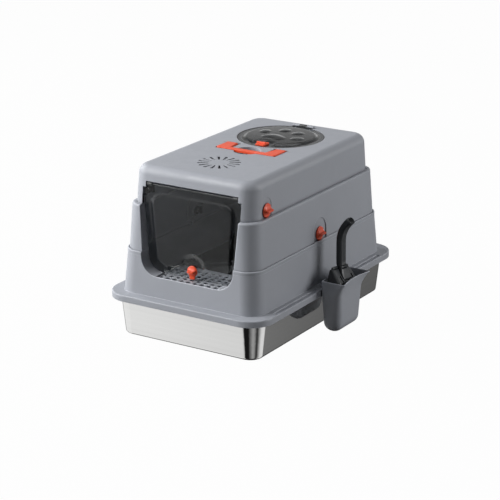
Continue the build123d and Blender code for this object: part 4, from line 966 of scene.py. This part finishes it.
buildPad()
print("filter pad built")


# floor, light and camera

floorLook = {"colour": linear(150, 150, 150), "shown": 0.98, "half": 6000.0, "levelTo": 3500.0,
             "rise": 0.00004, "points": 61}


def buildFloor():
    # a wide plane with slightly raised far edges, z = rise * max(r - levelTo, 0)^2
    f = floorLook
    t = np.linspace(-1, 1, f["points"]) * f["half"]
    x, y = np.meshgrid(t, t, indexing="ij")
    z = f["rise"] * np.maximum(np.hypot(x, y) - f["levelTo"], 0) ** 2
    points = np.stack([x, y, z], 2).reshape(-1, 3) * mm
    faces = gridFaces(f["points"], f["points"])[:, ::-1]
    mesh = bpy.data.meshes.new("floor")
    mesh.from_pydata(points.tolist(), [], faces.tolist())
    mesh.shade_smooth()
    floor = newObject("floor", mesh)
    material = bpy.data.materials.new("paleFloor")
    material.use_nodes = True
    tree = material.node_tree
    tree.nodes.clear()
    lit = addNode(tree, "ShaderNodeBsdfDiffuse", {"Color": rgba(f["colour"])}).outputs["BSDF"]
    white = addNode(tree, "ShaderNodeEmission", {"Strength": 1.0}).outputs["Emission"]
    ray = addNode(tree, "ShaderNodeLightPath").outputs
    viewed = maths(tree, "MAXIMUM", ray["Is Camera Ray"], ray["Is Transmission Ray"])
    seen = mixShader(tree, maths(tree, "MULTIPLY", viewed, f["shown"]), lit, white)
    # mirrors look past the floor into the studio
    past = addNode(tree, "ShaderNodeBsdfTransparent").outputs["BSDF"]
    both = mixShader(tree, ray["Is Glossy Ray"], seen, past)
    addNode(tree, "ShaderNodeOutputMaterial", {"Surface": both})
    mesh.materials.append(material)


# brightness by direction round the studio, from -X through -Y, as mirrors see it: level with the
# object, and lower down where steel looks; overhead it goes by height
roundLevel = [(0.0, 1.0), (0.112, 1.0), (0.134, 0.42), (0.158, 0.38), (0.178, 0.02), (0.46, 0.02),
              (0.50, 0.5), (0.60, 0.5), (0.70, 0.15), (0.78, 0.15), (0.81, 0.9), (1.0, 0.9)]
roundLow = [(0.0, 1.0), (0.12, 1.0), (0.142, 0.95), (0.151, 0.83), (0.183, 0.80), (0.212, 0.01),
            (0.30, 0.01), (0.345, 0.20), (0.39, 0.40), (0.425, 0.32), (0.462, 0.05), (0.49, 0.06),
            (0.53, 0.42), (0.575, 0.84), (0.645, 0.88), (0.668, 0.30), (0.677, 0.19), (0.683, 0.13),
            (0.74, 0.05), (0.80, 0.02), (0.93, 0.02), (0.955, 1.0), (1.0, 1.0)]
overhead = [(0.0, 0.9), (0.05, 0.9), (0.3, 0.34), (0.8, 0.34), (0.88, 1.3), (1.0, 1.3)]
# toUnder, toLow, toOverhead: heights of the ray between which one part gives way to the next
worldLook = {"sky": (0.94, 0.97, 1.0), "strength": 0.06, "under": (0.03, 0.03, 0.03),
             "toUnder": (-0.9, -0.75), "toLow": (-0.42, -0.36), "toOverhead": (-0.02, 0.02)}


def ramped(tree, source, stops):
    # grey levels through (position, level) stops
    node = addNode(tree, "ShaderNodeValToRGB", {"Fac": source})
    elements = node.color_ramp.elements
    elements.remove(elements[0])
    elements[0].position = stops[0][0]
    for position, _ in stops[1:]:
        elements.new(position)
    for element, (_, level) in zip(elements, stops):
        element.color = (level, level, level, 1)
    return node.outputs["Color"]


def buildWorld():
    w = worldLook
    world = bpy.data.worlds.new("studio")
    bpy.context.scene.world = world
    world.use_nodes = True
    tree = world.node_tree
    tree.nodes.clear()
    # for mirrors: bands round the studio, a bright horizon, a darker ceiling with a softbox
    # straight above, and a dark underside
    place = addNode(tree, "ShaderNodeTexCoord").outputs["Generated"]
    height = addNode(tree, "ShaderNodeSeparateXYZ", {"Vector": place}).outputs["Z"]
    around = addNode(tree, "ShaderNodeTexGradient", {"Vector": place}, gradient_type="RADIAL")
    level, low = (ramped(tree, around.outputs["Fac"], stops) for stops in (roundLevel, roundLow))
    seen = mixColour(tree, mapped(tree, height, 1.0, 0.0, *w["toLow"]), level, low)
    seen = mixColour(tree, mapped(tree, height, 1.0, 0.0, *w["toUnder"]), seen, w["under"])
    seen = mixColour(tree, mapped(tree, height, 0.0, 1.0, *w["toOverhead"]), seen,
                     ramped(tree, height, overhead))

    def background(**inputs):
        return addNode(tree, "ShaderNodeBackground", inputs).outputs["Background"]

    ray = addNode(tree, "ShaderNodeLightPath").outputs
    room = background(Color=rgba(w["sky"]), Strength=w["strength"])
    lit = mixShader(tree, ray["Is Glossy Ray"], room, background(Color=seen))
    shown = mixShader(tree, ray["Is Camera Ray"], lit, background(Color=(1, 1, 1, 1)))
    addNode(tree, "ShaderNodeOutputWorld", {"Surface": shown})


# place in metres and power in watts
lamps = {"key": ((-1.44, -1.92, 2.31), 67.0), "frontLeft": ((-2.50, -1.66, 1.32), 68.0),
         "left": ((-2.89, 0.32, 1.55), 50.0), "rearRight": ((2.61, 1.47, 1.34), 51.0)}
lampSize = 1.8
lampAim = Vector((0, 0, 0.2))


def buildLamps():
    for name, (place, power) in lamps.items():
        data = bpy.data.lights.new(name, "AREA")
        data.shape = "DISK"
        data.size = lampSize
        data.energy = power
        lamp = newObject(name, data)
        lamp.location = place
        lamp.rotation_euler = (lampAim - Vector(place)).to_track_quat("-Z", "Y").to_euler()


cameraLook = {"place": (2.05189, -3.31464, 1.43044), "azimuth": 31.9129, "elevation": 18.3269,
              "roll": 0.0273, "lens": 134.48, "sensor": 36.0, "farthest": 50.0}


def buildCamera():
    look = cameraLook
    az, el = math.radians(look["azimuth"]), math.radians(look["elevation"])
    forward = Vector((-math.sin(az) * math.cos(el), math.cos(az) * math.cos(el), -math.sin(el)))
    data = bpy.data.cameras.new("camera")
    data.lens = look["lens"]
    data.sensor_width = look["sensor"]
    data.clip_end = look["farthest"]
    camera = newObject("camera", data)
    turn = forward.to_track_quat("-Z", "Y").to_matrix().to_4x4()
    roll = Matrix.Rotation(math.radians(look["roll"]), 4, "Z")
    camera.matrix_world = Matrix.Translation(look["place"]) @ turn @ roll
    bpy.context.scene.camera = camera


buildFloor()
buildWorld()
buildLamps()
buildCamera()
bpy.context.scene.view_settings.view_transform = "Standard"
print("stage built")
